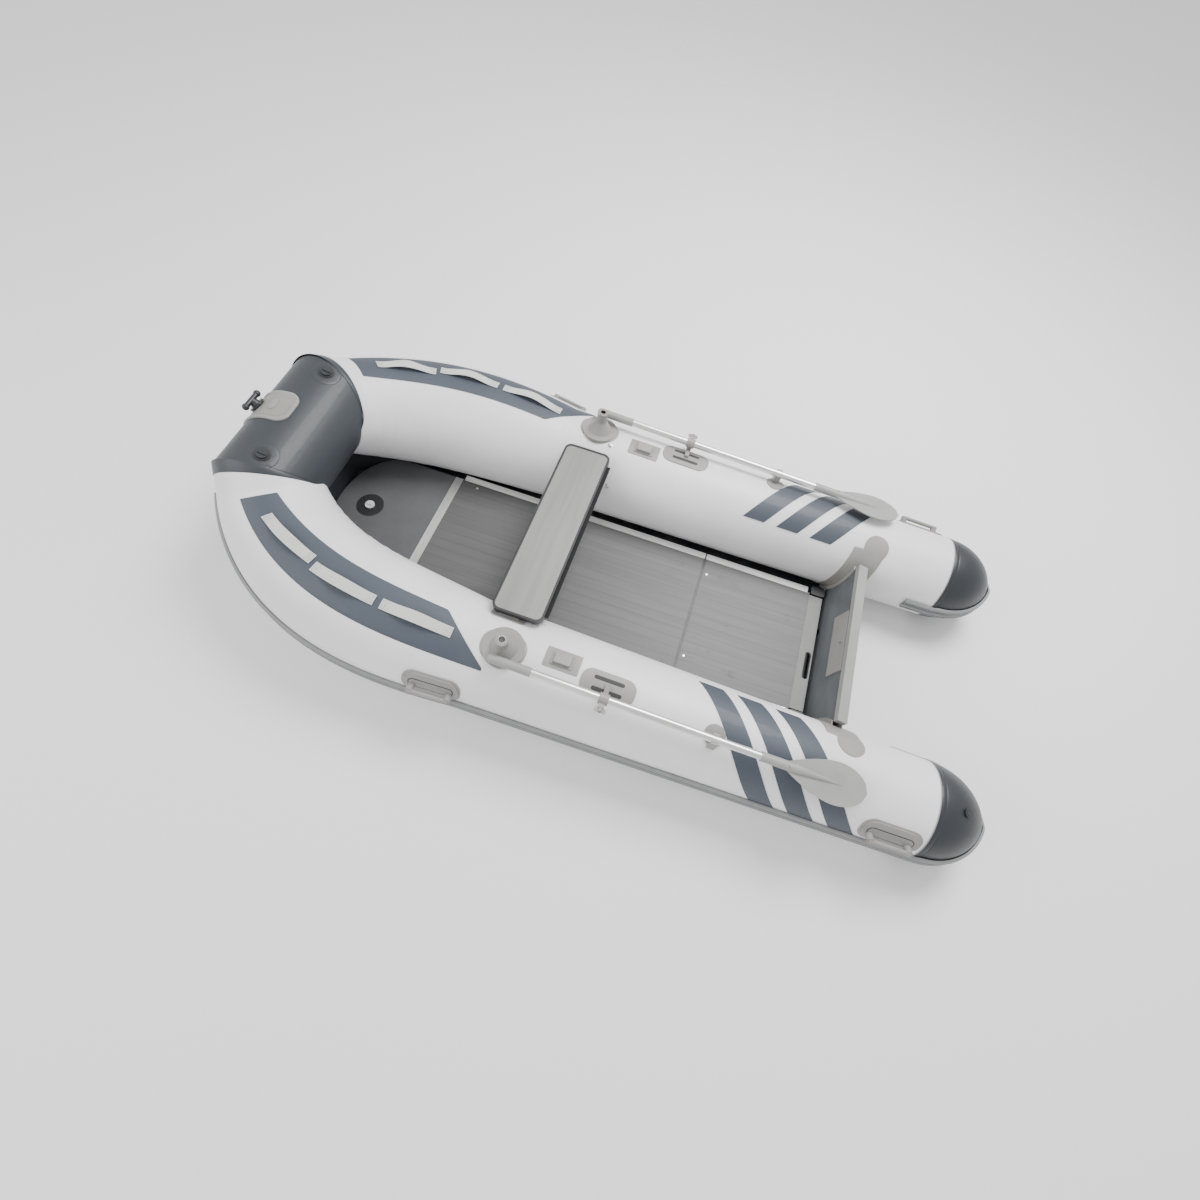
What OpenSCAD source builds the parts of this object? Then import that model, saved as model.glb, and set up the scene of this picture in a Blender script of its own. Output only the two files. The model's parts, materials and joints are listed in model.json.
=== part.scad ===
/* [Hull] */
// Overall length, bow to the tips of the stern caps
hull_l = 3100; // [3050:1:3200]
// Half of the distance between the two side tubes' centre lines
tube_y = 521; // [505:1:560]
// Tube radius where the straight run begins
mid_r = 206; // [198:1:215]
// Tube radius at the stern caps
stern_r = 177; // [165:1:190]
// Place where the bow curve ends and the straight run begins
joint_x = 1128; // [1110:1:1145]
// Length of a stern cap
cap_l = 220; // [180:1:240]
// Radius of the rounded tip of a stern cap
cap_tip_r = 46; // [30:1:70]
// Thickness of the tube fabric
skin_t = 1.1; // [0.9:0.1:1.5]

/* [Bow] */
// Radius in the middle of the curved bow tube
curve_r = 229; // [220:1:234]
// Radius of the cross section at the bow
bow_r = 183; // [175:1:190]
// Length of the curved bow tube along its centre line
curve_l = 1098; // [1060:1:1150]
// Turn of the bow tube in plan, degrees
bow_turn = 63; // [58:1:66]
// How late the bow tube turns
turn_power = 2.2; // [1.8:0.1:2.6]
// Climb of the bow tube at the bow, degrees
bow_climb = 42; // [36:1:46]
// How late the bow tube climbs
climb_power = 2.3; // [2:0.1:2.6]

/* [Rubbing strake] */
// Width of the strake
strake_w = 62; // [50:1:70]
// Height of the strake's two ribs
strake_h = 11; // [8:1:14]
// Angle of the strake round the tube, from the top
strake_phi = 92; // [88:1:98]

/* [Floor] */
// Height of the floor's upper face
floor_z = 104; // [98:1:112]
// Distance from a tube's centre line in to the floor boards' edge
board_in = 237; // [231:1:251]
// Thickness of a floor board's sheet
board_t = 2.5; // [2:0.1:4]
// Depth of a floor board's ribs
rib_h = 12; // [8:1:16]
// Width of a side stringer
stringer_w = 24; // [18:1:26]
// Place of the joiner behind the bow board
joiner_x = 684; // [670:1:700]
// Width of a joiner's visible strip
joiner_w = 36; // [28:1:44]
// Place of the first joint between boards
board_joint_1 = 1290; // [1250:1:1330]
// Place of the second joint between boards
board_joint_2 = 1880; // [1840:1:1920]
// After end of the last board's sheet
floor_end_x = 2362; // [2340:1:2375]
// Width of the trim strip behind the last board
end_trim_w = 58; // [45:1:62]

/* [Transom] */
// Thickness of the transom board
transom_t = 30; // [24:1:34]
// Height of the transom's upper edge
transom_z = 316; // [300:1:322]
// Place of the transom's inner face at the floor
transom_x = 2440; // [2430:1:2460]
// Rake of the transom, degrees
transom_rake = 12; // [6:1:14]
// Distance from a tube's centre line in to the transom board's upper corner
transom_in = 177; // [171:1:191]

/* [Thwart] */
// Width of the seat board, fore and aft
seat_w = 196; // [180:1:210]
// Distance from a tube's centre line in to the seat board's end
seat_in = 107; // [103:1:121]
// Thickness of the seat board
seat_t = 25; // [20:1:28]
// Height of the seat board's upper face
seat_z = 414; // [410:1:430]
// Place of the seat board's fore edge
seat_x = 1162; // [1150:1:1175]

/* [Fittings on the tubes] */
// Place of the pole sockets
socket_x = 1266; // [1250:1:1275]
// Angle of the pole sockets from the tube's top
socket_phi = 6; // [2:1:9]
// Bore of a pole socket
socket_bore = 22; // [18:1:25]
// Place of the lashing patches
lash_x = 1476; // [1465:1:1490]
// Place of the rowlocks
rowlock_x = 1654; // [1645:1:1665]
// Place of the oar clips
clip_x = 2052; // [2040:1:2070]
// Place of the fore carry handles
fore_handle_x = 1060; // [1040:1:1085]
// Place of the after carry handles
aft_handle_x = 2733; // [2715:1:2745]
// Angle of the fore carry handles from the tube's top
fore_handle_phi = 70; // [66:1:72]
// Angle of the after carry handles from the tube's top
aft_handle_phi = 62; // [58:1:66]

/* [Oars] */
// Length of an oar over all
oar_l = 1342; // [1300:1:1360]
// Diameter of an oar's shaft
oar_d = 28; // [25:1:30]
// Wall of an oar's shaft
oar_wall = 1.5; // [1.2:0.1:2]
// Distance of the oars outside the tubes' centre lines
oar_out = 85; // [79:1:91]
// Height of an oar's centre line at the rowlock
oar_z = 424; // [420:1:430]
// Slope of a stowed oar, degrees
oar_slope = 2.4; // [2:0.1:2.8]
// Distance from an oar's grip end to the rowlock
grip_reach = 411; // [400:1:420]
// Width of an oar blade
blade_w = 142; // [120:1:150]
// Length of an oar blade
blade_l = 372; // [340:1:390]
// Roll of a stowed blade, outer edge down, degrees
blade_roll = 12; // [6:1:14]

/* [Clearances] */
// Gap of the glue line under a patch
glue = 0.4; // [0.3:0.1:0.8]
// Gap under a patch on the curved bow tubes
curved_glue = 1.1; // [1:0.1:1.4]
// Radial running clearance of turning pieces
running = 0.3; // [0.2:0.05:0.5]

/* [Hidden] */
board_half_w = tube_y - board_in;
transom_half_w = tube_y - transom_in;
seat_half_l = tube_y - seat_in;
oar_y = tube_y + oar_out;
$fn = 64;
eps = 0.01;

fabric = [0.86, 0.85, 0.86];
slate = [0.35, 0.39, 0.44];
moulded = [0.71, 0.70, 0.68];
metal = [0.75, 0.75, 0.74];
dark = [0.13, 0.13, 0.14];
floor_grey = [0.43, 0.44, 0.45];
webbing = [0.88, 0.88, 0.86];

// Everything is laid out from the bow, then moved so that the origin is under the middle
module boat() { translate([-(front_x + rear_x) / 2, 0, 0]) children(); }
module starboard() { mirror([0, 1, 0]) children(); }
module both_sides() {
    children();
    starboard() children();
}

cap_x = hull_l - cap_l - strake_h;
taper = (mid_r - stern_r) / (cap_x - joint_x);
taper_angle = atan(taper);

// Centre line of the port tube: straight behind the joint, then a curve that turns and climbs.
// A station counts steps forward of the joint, so it is negative on the straight run.
curve_steps = 24;
step_l = curve_l / curve_steps;
function heading(i) = i <= 0 ? 0 : bow_turn * pow(i / curve_steps, turn_power);
function climb(i) = i <= 0 ? 0 : bow_climb * pow(i / curve_steps, climb_power);
function along(a, b) = [-cos(a) * cos(b), sin(a) * cos(b), sin(b)];
curve = [
    for (i = 0, p = [joint_x, -tube_y, 0]; i <= curve_steps;
         p = p + step_l * along(heading(i + 0.5), climb(i + 0.5)), i = i + 1) p
];
function straight_r(x) = mid_r - taper * (x - joint_x);
function curved_r(u) = mid_r * (1 - u) * (1 - 2 * u) + curve_r * 4 * u * (1 - u) + bow_r * u * (2 * u - 1);
function tube_r(i) = i <= 0 ? straight_r(joint_x - i * step_l) : curved_r(min(i / curve_steps, 1));
function station(x) = (joint_x - x) / step_l;
function between(p, q, t) = p + t * (q - p);
function on_curve(i) = let (k = min(floor(i), curve_steps - 1)) between(curve[k], curve[k + 1], i - k);
function centre(i) = i <= 0 ? [joint_x - i * step_l, -tube_y, tube_r(i)] : on_curve(i) + [0, 0, tube_r(i)];
function forward(i) = along(heading(i), climb(i));
function outboard(i) = [-sin(heading(i)), -cos(heading(i)), 0];
function upward(i) = cross(forward(i), outboard(i));
function normal(i, phi) = sin(phi) * outboard(i) + cos(phi) * upward(i);
function on_tube(i, phi, off) = centre(i) + (tube_r(i) + off) * normal(i, phi);

// The bow section crosses between the two curved tubes, mitred half way between their directions
bow_end = curve[curve_steps];
bow_z = bow_end[2] + bow_r;
bow_x = bow_end[0];
front_x = bow_x - bow_r;
rear_x = cap_x + cap_l + strake_h;
mitre_sum = forward(curve_steps) + [0, 1, 0];
mitre = mitre_sum / norm(mitre_sum);
mitre_out = acos(mitre[2]);
mitre_turn = atan2(mitre[1], mitre[0]);
bow_forward = forward(curve_steps);
function on_mitre(p) = p - bow_forward * (((p - centre(curve_steps)) * mitre) / (bow_forward * mitre));
function tube_ring_point(i, phi, off) = i < curve_steps
    ? on_tube(i, phi, off)
    : on_mitre(on_tube(i, phi, off));

// A closed solid swept through rings that all have the same number of points
module swept(rings) {
    m = len(rings[0]);
    n = len(rings);
    sides = [
        for (j = [0:n - 2], k = [0:m - 1]) each [
            [j * m + k, (j + 1) * m + k, j * m + (k + 1) % m],
            [j * m + (k + 1) % m, (j + 1) * m + k, (j + 1) * m + (k + 1) % m]
        ]
    ];
    first = [for (k = [0:m - 1]) k];
    last = [for (k = [m - 1:-1:0]) (n - 1) * m + k];
    polyhedron(points = [for (r = rings) each r], faces = concat(sides, [first], [last]), convexity = 8);
}

// A swept tube wall, open at both ends
module swept_pipe(outer, inner) {
    m = len(outer[0]);
    n = len(outer);
    shift = m * n;
    walls = [
        for (j = [0:n - 2], k = [0:m - 1]) let (a = j * m + k, b = a + m, c = j * m + (k + 1) % m, d = c + m)
            each [[a, b, c], [c, b, d], [shift + a, shift + c, shift + b], [shift + c, shift + d, shift + b]]
    ];
    ends = [
        for (k = [0:m - 1]) let (a = k, c = (k + 1) % m, e = (n - 1) * m)
            each [[a, c, shift + a], [c, shift + c, shift + a],
                  [e + a, shift + e + a, e + c], [e + c, shift + e + a, shift + e + c]]
    ];
    polyhedron(points = [for (r = concat(outer, inner)) each r], faces = concat(walls, ends), convexity = 8);
}

// Puts children on the port tube: +X aft along it, +Z straight out of it
module on_port_tube(i, phi) {
    p = on_tube(i, phi, 0);
    z = normal(i, phi);
    ahead = on_tube(i + 0.5, phi, 0) - on_tube(i - 0.5, phi, 0);
    flat = ahead - (ahead * z) * z;
    x = -flat / norm(flat);
    y = cross(z, x);
    tilt = atan2(ahead * z, norm(flat));
    multmatrix([[x[0], y[0], z[0], p[0]], [x[1], y[1], z[1], p[1]], [x[2], y[2], z[2], p[2]], [0, 0, 0, 1]])
        rotate([0, tilt, 0]) children();
}
module rod_x(r, l) { rotate([0, 90, 0]) cylinder(h = l, r = r, center = true); }
module rounded(l, w, r) {
    square([l - 2 * r, w], center = true);
    square([l, w - 2 * r], center = true);
    for (sx = [-1, 1], sy = [-1, 1]) translate([sx * (l / 2 - r), sy * (w / 2 - r)]) circle(r = r);
}
module slab(l, w, r, h) { linear_extrude(height = h) rounded(l, w, r); }

// Keeps what of its children lies over the tube, with its under face bent to it
module bent_to_tube(r, l) {
    difference() {
        children();
        translate([0, 0, -r]) rod_x(r + glue, l);
    }
}
module patch(r, l, w, corner, t) {
    intersection() {
        translate([0, 0, -r / 2]) slab(l, w, corner, r);
        difference() {
            translate([0, 0, -r]) rod_x(r + glue + t, l + 2);
            translate([0, 0, -r]) rod_x(r + glue, l + 4);
        }
    }
}

// Side tubes
module port_cone(off, x0, x1) {
    reach = 80;
    intersection() {
        translate([joint_x - reach, -tube_y, mid_r + taper * reach]) rotate([0, 90 + taper_angle, 0])
            cylinder(h = cap_x - joint_x + 2 * reach, r1 = mid_r + taper * reach + off,
                     r2 = stern_r - taper * reach + off);
        translate([x0, -tube_y - mid_r - 60, -60]) cube([x1 - x0, 2 * mid_r + 120, 2 * mid_r + 120]);
    }
}
module side_tube() {
    difference() {
        port_cone(0, joint_x, cap_x);
        port_cone(-skin_t, joint_x - 10, cap_x + 10);
    }
}
ring_sides = 36;
ring_step = 360 / ring_sides;
function tube_ring(i, off) = [for (k = [0:ring_sides - 1]) tube_ring_point(i, k * ring_step, off)];
module curved_tube() {
    rings = [0:curve_steps];
    swept_pipe([for (i = rings) tube_ring(i, 0)], [for (i = rings) tube_ring(i, -skin_t)]);
}
module mitred(l) {
    intersection() {
        children();
        intersection() {
            mitre_block(l);
            mirror([0, 1, 0]) mitre_block(l);
        }
    }
}
module mitre_block(l) {
    translate([bow_x, bow_end[1], bow_z]) rotate([0, 0, mitre_turn]) rotate([0, mitre_out, 0])
        translate([-l / 2, -l / 2, 0]) cube([l, l, l]);
}
valve_phi = 14;
valve_y = 222;
valve_flange_r = 27;
valve_hole_r = 17.5;
module at_bow_valve() {
    translate([bow_x, -valve_y, bow_z]) rotate([0, valve_phi, 0]) translate([0, 0, bow_r]) children();
}
module bow_section() {
    color(slate) boat() difference() {
        mitred(900) translate([bow_x, 0, bow_z]) rotate([90, 0, 0])
            cylinder(h = 800, r = bow_r, center = true);
        translate([bow_x, 0, bow_z]) rotate([90, 0, 0]) cylinder(h = 900, r = bow_r - skin_t, center = true);
        both_sides() at_bow_valve() translate([0, 0, -20]) cylinder(h = 40, r = valve_hole_r + running);
    }
}
module tube_port() { color(fabric) boat() side_tube(); }
module tube_starboard() { color(fabric) boat() starboard() side_tube(); }
module bow_tube_port() { color(fabric) boat() curved_tube(); }
module bow_tube_starboard() { color(fabric) boat() starboard() curved_tube(); }

// Stern caps: a round arc from the tube, ending in a rounded tip
cap_tip_l = cap_l - cap_tip_r;
cap_arc_r = (pow(stern_r, 2) + pow(cap_tip_l, 2) - pow(cap_tip_r, 2)) / (2 * (stern_r - cap_tip_r));
cap_tip_angle = atan2(cap_tip_l, cap_arc_r - stern_r);
module cap_outline(off) {
    intersection() {
        union() {
            intersection() {
                translate([stern_r - cap_arc_r, 0]) circle(r = cap_arc_r + off, $fn = 180);
                square([stern_r + 20, cap_tip_l + cap_tip_r * sin(cap_tip_angle)]);
            }
            translate([0, cap_tip_l]) circle(r = cap_tip_r + off);
        }
        square([stern_r + 20, cap_l + 20]);
    }
}
module stern_cap() {
    translate([cap_x, -tube_y, stern_r]) rotate([0, 90, 0]) difference() {
        rotate_extrude() cap_outline(0);
        translate([0, 0, -eps]) rotate_extrude() cap_outline(-skin_t - 0.4);
    }
}
module stern_cap_port() { color(slate) boat() stern_cap(); }
module stern_cap_starboard() { color(slate) boat() starboard() stern_cap(); }

// Baffles that part the bow chamber from the side chambers, inside the tubes
module bulkheads() {
    color(fabric) boat() both_sides() translate([joint_x - 1, -tube_y, mid_r]) rotate([0, 90, 0])
        cylinder(h = 2, r = mid_r - skin_t - 4);
}

// Rubbing strake: one profile swept from the bow seam round the outside and round the stern cap
strake_under = strake_w * strake_w / (8 * bow_r);
strake_profile = [
    [-strake_w / 2, -strake_under], [-strake_w / 2, strake_h / 2], [-strake_w / 2 + 4, strake_h],
    [-6, strake_h], [-4, strake_h / 2], [4, strake_h / 2], [6, strake_h],
    [strake_w / 2 - 4, strake_h], [strake_w / 2, strake_h / 2], [strake_w / 2, -strake_under], [0, 0]
];
strake_glue = curved_glue + 0.7;
strake_first = curve_steps - 0.6;
strake_last = station(cap_x - 4);
strake_inner_x = 2740;
function strake_ring(p, up, out) = [
    for (q = strake_profile) p + q[0] * up + (max(q[1], q[1] * bow_r / mid_r) + strake_glue) * out
];
function strake_on_tube(i, phi, side) = let (n = sin(phi) * outboard(i) * side + cos(phi) * upward(i))
    strake_ring(centre(i) + tube_r(i) * n, cos(phi) * -side * outboard(i) + sin(phi) * upward(i), n);
function cap_point(a) = a <= cap_tip_angle
    ? [cap_x + cap_arc_r * sin(a), stern_r - cap_arc_r + cap_arc_r * cos(a)]
    : [cap_x + cap_tip_l + cap_tip_r * sin(a), cap_tip_r * cos(a)];
function strake_on_cap(a) = let (s = a <= 90 ? 1 : -1, b = a <= 90 ? a : 180 - a, p = cap_point(b))
    strake_ring([p[0], -tube_y - s * p[1], stern_r], [0, 0, 1], [sin(b), -s * cos(b), 0]);
strake_cap_angles = [6, 14, 22, 30, 38, 46, 54, 66, 78, 90, 102, 114, 126, 134, 142, 150, 158, 166, 174];
module strake() {
    swept(concat(
        [for (i = [0:curve_steps - 3])
            strake_on_tube(strake_first * (1 - i / (curve_steps - 2)), strake_phi, 1)],
        [strake_on_tube(0, strake_phi, 1), strake_on_tube(strake_last, strake_phi, 1)],
        [for (a = strake_cap_angles) strake_on_cap(a)],
        [for (i = [strake_last, station(strake_inner_x)]) strake_on_tube(i, strake_phi, -1)]
    ));
}
module strake_port() { color(moulded) boat() strake(); }
module strake_starboard() { color(moulded) boat() starboard() strake(); }

// Anti-chafe panels on the curved tubes
panel_t = 1;
panel_first = -2;
panel_last = 22.5;
panel_corner = 2;
function panel_outer(i) = 35 - 13 * pow(max(i, 0) / panel_last, 2);
function panel_inner(i) = i < panel_corner
    ? -10 + (panel_corner - i) * (panel_outer(panel_first) - 3 + 10) / (panel_corner - panel_first)
    : -10 - 6 * pow(i / panel_last, 2);
panel_rows = 6;
function panel_ring(i) = let (a = panel_inner(i), d = (panel_outer(i) - panel_inner(i)) / panel_rows) concat(
    [for (k = [0:panel_rows]) on_tube(i, a + k * d, curved_glue + panel_t)],
    [for (k = [panel_rows:-1:0]) on_tube(i, a + k * d, curved_glue)]
);
module chafe_panel() { swept([for (i = [panel_first:0.98:panel_last]) panel_ring(i)]); }
module chafe_panel_port() { color(slate) boat() chafe_panel(); }
module chafe_panel_starboard() { color(slate) boat() starboard() chafe_panel(); }

// Webbing grab straps on the panels, each arched clear between its sewn ends
strap_w = 38;
strap_t = 2.5;
strap_rise = 17;
strap_rows = 10;
strap_stations = [[1.3, 6.5, 10], [7.7, 13, 10], [14.1, 19.8, 6]];
strap_base = curved_glue + panel_t + 1.2;
function strap_half_angle(i) = strap_w / 2 / tube_r(i) * 180 / PI;
function strap_lift(t) = strap_base + strap_rise * pow(sin(180 * t), 2);
function strap_ring(s, k) = let (t = k / strap_rows, i = s[0] + (s[1] - s[0]) * t, h = strap_half_angle(i)) [
    for (q = [[-h, 0], [0, 0], [h, 0], [h, strap_t], [0, strap_t], [-h, strap_t]])
        on_tube(i, s[2] + q[0], strap_lift(t) + q[1])
];
module grab_straps() {
    color(webbing) boat() both_sides() for (s = strap_stations)
        swept([for (k = [0:strap_rows]) strap_ring(s, k)]);
}

// Slanting stripes: bands that run round the tube at a constant slant
stripe_tops = [2103, 2249, 2395];
stripe_half_w = 46;
stripe_slant = 2.33;
stripe_from = -42;
stripe_to = 82;
stripe_step = 6.2;
stripe_t = 0.9;
function stripe_point(x, phi, off) = on_tube(station(x + stripe_slant * phi), phi, off);
function stripe_ring(x, phi) = [
    for (q = [[-1, 0], [1, 0], [1, stripe_t], [-1, stripe_t]])
        stripe_point(x + q[0] * stripe_half_w, phi, curved_glue + q[1])
];
module stripe(x) { swept([for (phi = [stripe_from:stripe_step:stripe_to]) stripe_ring(x, phi)]); }
module stern_stripes() { color(slate) boat() both_sides() for (x = stripe_tops) stripe(x); }

// Moulded patch over the bow with a groove for the tow line, and its horn cleat
bow_patch_w = 140;
bow_patch_t = 6;
cleat_phi = -42;
module on_bow(phi) { translate([bow_x, 0, bow_z]) rotate([0, phi, 0]) translate([0, 0, bow_r]) children(); }
module bow_patch() {
    color(moulded) boat() translate([bow_x, 0, bow_z]) rotate([90, 0, 0]) rotate([0, 0, 78])
        translate([0, 0, -bow_patch_w / 2]) rotate_extrude(angle = 84) translate([bow_r + glue, 0])
            square([bow_patch_t, bow_patch_w]);
}
cleat_l = 74;
module tow_cleat() {
    color(dark) boat() on_bow(cleat_phi) translate([0, 0, glue + bow_patch_t + 0.6]) {
        cylinder(h = 6, r = 32);
        translate([0, 0, 5]) cylinder(h = 20, r1 = 20, r2 = 14);
        translate([0, 0, 26]) rotate([90, 0, 0]) cylinder(h = cleat_l, r = 10, center = true);
        for (s = [-1, 1]) translate([0, s * cleat_l / 2, 26]) sphere(r = 13);
    }
}

// Moulded carry handles: a curved plate with a raised grip over an oblong slot
handle_l = 200;
handle_w = 92;
handle_slot_l = 108;
handle_slot_w = 26;
grip_rise = 36;
module handle(i, phi, lift) {
    on_port_tube(i, phi) translate([0, 0, lift]) bent_to_tube(tube_r(i), handle_l + 20) {
        intersection() {
            translate([0, 0, -14]) slab(handle_l, handle_w, handle_w / 2 - 1, 70);
            union() {
                translate([0, 0, -tube_r(i)]) rod_x(tube_r(i) + glue + 6, handle_l + 20);
                translate([0, -16, -14]) for (s = [-1, 1])
                    translate([s * (handle_slot_l / 2 + 14), 0, 0]) cylinder(h = 14 + grip_rise, r = 13);
            }
        }
        translate([0, -16, grip_rise - 3]) rod_x(8, handle_slot_l + 40);
    }
}
module handle_fore() { handle(station(fore_handle_x), fore_handle_phi, 1.4); }
module handle_aft() { handle(station(aft_handle_x), aft_handle_phi, 0); }
module handle_fore_port() { color(moulded) boat() handle_fore(); }
module handle_fore_starboard() { color(moulded) boat() starboard() handle_fore(); }
module handle_aft_port() { color(moulded) boat() handle_aft(); }
module handle_aft_starboard() { color(moulded) boat() starboard() handle_aft(); }

// Pole sockets: a cone-shaped moulding with a metal lined bore
socket_base_r = 75;
socket_neck_r = 22;
socket_h = 92;
socket_liner_t = 1.5;
module socket_frame() { on_port_tube(station(socket_x), socket_phi) children(); }
module pole_sockets() {
    color(moulded) boat() both_sides() socket_frame() difference() {
        bent_to_tube(tube_r(station(socket_x)), 2 * socket_base_r + 20) {
            translate([0, 0, -16]) cylinder(h = 20, r = socket_base_r);
            translate([0, 0, 4]) cylinder(h = 44, r1 = 50, r2 = socket_neck_r);
            translate([0, 0, 47]) cylinder(h = socket_h - 47, r = socket_neck_r);
        }
        translate([0, 0, 8]) cylinder(h = socket_h, r = socket_bore / 2 + socket_liner_t);
    }
}
module socket_liners() {
    color(metal) boat() both_sides() socket_frame() difference() {
        union() {
            translate([0, 0, 8.2]) cylinder(h = socket_h - 8, r = socket_bore / 2 + socket_liner_t - 0.05);
            translate([0, 0, socket_h + 0.2]) cylinder(h = 2, r = socket_bore / 2 + 3.5);
        }
        translate([0, 0, 12]) cylinder(h = socket_h, r = socket_bore / 2);
    }
}

// Lashing patches with a raised loop
lash_l = 130;
lash_w = 76;
module lashing_patches() {
    i = station(lash_x);
    color(moulded) boat() both_sides() on_port_tube(i, -2) {
        patch(tube_r(i), lash_l, lash_w, 5, 2.5);
        difference() {
            translate([-30, -20, -3]) cube([60, 40, 21]);
            translate([-31, -12, 4]) cube([62, 24, 9]);
            translate([0, 0, -tube_r(i)]) rod_x(tube_r(i) + glue, 90);
        }
    }
}

// Oars: everything on an oar is laid out along +X aft from the rowlock's centre
module port_oar() { translate([rowlock_x, -oar_y, oar_z]) rotate([0, oar_slope, 0]) children(); }
module tube_along(r, x0, x1) { translate([x0, 0, 0]) rotate([0, 90, 0]) cylinder(h = x1 - x0, r = r); }
shaft_end = oar_l - grip_reach - blade_l + 122;
module oar_shaft() {
    difference() {
        tube_along(oar_d / 2, -grip_reach + 12, shaft_end);
        tube_along(oar_d / 2 - oar_wall, -grip_reach + 11, shaft_end + 1);
        translate([button_x, 0, 0]) cylinder(h = oar_d, r = button_r + running);
    }
}
grip_l = 150;
grip_t = 2.5;
module oar_grip() {
    difference() {
        union() {
            tube_along(oar_d / 2 + grip_t, -grip_reach + 6, -grip_reach + grip_l);
            translate([-grip_reach + 6, 0, 0]) sphere(r = oar_d / 2 + grip_t);
        }
        tube_along(oar_d / 2 + 0.05, -grip_reach + 11, -grip_reach + grip_l + 1);
    }
}
button_x = oar_l - grip_reach - blade_l + 100;
button_r = 4;
button_rise = 3.2;
blade_socket_t = 3;
module oar_button() {
    translate([button_x, 0, 0]) {
        translate([0, 0, 8]) cylinder(h = oar_d / 2 + blade_socket_t + button_rise - 8, r = button_r);
        translate([0, 0, 6.5]) cylinder(h = 2, r = button_r + 1.5);
    }
}
blade_start = oar_l - grip_reach - blade_l;
blade_t = 5;
leaf_steps = 24;
function leaf(t) = max(blade_w / 2 * pow(sin(180 * pow(t, 1.6)), 0.5), 1);
module oar_blade() {
    difference() {
        union() {
            tube_along(oar_d / 2 + blade_socket_t, blade_start, blade_start + 132);
            translate([blade_start + 132, 0, 0]) rotate([0, 90, 0])
                cylinder(h = 150, r1 = oar_d / 2 + blade_socket_t, r2 = 4);
            translate([0, 0, -blade_t / 2]) linear_extrude(height = blade_t) {
                polygon([
                    for (s = [-1, 1], k = [0:leaf_steps]) let (t = s < 0 ? k : leaf_steps - k)
                        [blade_start + 70 + t / leaf_steps * (blade_l - 70), s * leaf(t / leaf_steps)]
                ]);
            }
        }
        tube_along(oar_d / 2 + 0.05, blade_start - 1, shaft_end + 0.5);
        translate([button_x, 0, 0]) cylinder(h = oar_d, r = button_r + running);
    }
}
module rolled() { rotate([blade_roll, 0, 0]) children(); }
module oar_shaft_port() { color(metal) boat() port_oar() rolled() oar_shaft(); }
module oar_shaft_starboard() { color(metal) boat() starboard() port_oar() rolled() oar_shaft(); }
module oar_grip_port() { color(moulded) boat() port_oar() rolled() oar_grip(); }
module oar_grip_starboard() { color(moulded) boat() starboard() port_oar() rolled() oar_grip(); }
module oar_blade_port() { color(moulded) boat() port_oar() rolled() oar_blade(); }
module oar_blade_starboard() { color(moulded) boat() starboard() port_oar() rolled() oar_blade(); }
module oar_button_port() { color(metal) boat() port_oar() rolled() oar_button(); }
module oar_button_starboard() { color(metal) boat() starboard() port_oar() rolled() oar_button(); }

// Rowlocks: a moulded patch with a post, a collar round the oar and a clamping ear for the wing nut
rowlock_l = 200;
rowlock_w = 96;
rowlock_phi = 8;
collar_l = 34;
collar_t = 6;
ear_out = 34;
bolt_r = 4;
module rowlock_base() {
    i = station(rowlock_x);
    on_port_tube(i, rowlock_phi) {
        patch(tube_r(i), rowlock_l, rowlock_w, 40, 4);
        bent_to_tube(tube_r(i), rowlock_l) translate([-9, -62, -20]) cube([18, 66, 36]);
    }
    difference() {
        union() {
            port_oar() difference() {
                union() {
                    tube_along(oar_d / 2 + running + collar_t, -collar_l / 2, collar_l / 2);
                    translate([-9, 0, -oar_d / 2 - 22]) cube([18, 12, 24]);
                    translate([-10, -ear_out, -7]) cube([20, ear_out - 12, 14]);
                }
                tube_along(oar_d / 2 + running, -collar_l, collar_l);
            }
        }
        port_cone(glue + 1, joint_x, cap_x);
    }
    port_oar() translate([0, -ear_out + 1, 0]) rotate([90, 0, 0]) cylinder(h = 18, r = bolt_r);
}
module rowlock_bases() { color(moulded) boat() both_sides() rowlock_base(); }
module rowlock_nut() {
    port_oar() translate([0, -ear_out - 1, 0]) rotate([90, 0, 0]) difference() {
        union() {
            cylinder(h = 12, r = 9);
            for (s = [-1, 1]) translate([s * 13, 0, 7]) rotate([90, 0, 0])
                cylinder(h = 4, r = 8, center = true);
        }
        translate([0, 0, -1]) cylinder(h = 20, r = bolt_r + running);
    }
}
module rowlock_nut_port() { color(moulded) boat() rowlock_nut(); }
module rowlock_nut_starboard() { color(moulded) boat() starboard() rowlock_nut(); }

// Oar clips: a round patch with a cradle open at the top
clip_phi = 18;
clip_l = 26;
module oar_clip() {
    i = station(clip_x);
    on_port_tube(i, clip_phi) patch(tube_r(i), 76, 76, 37, 3);
    difference() {
        port_oar() translate([clip_x - rowlock_x, 0, 0]) difference() {
            translate([-clip_l / 2, -oar_d / 2 - 6, -oar_d / 2 - 40])
                cube([clip_l, oar_d + 12, oar_d / 2 + 46]);
            rod_x(oar_d / 2 + running, clip_l + 2);
            translate([-clip_l, -oar_d / 2 + 1.5, 0]) cube([2 * clip_l, oar_d - 3, 30]);
        }
        port_cone(glue + 1, joint_x, cap_x);
    }
}
module oar_clips() { color(moulded) boat() both_sides() oar_clip(); }

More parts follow.
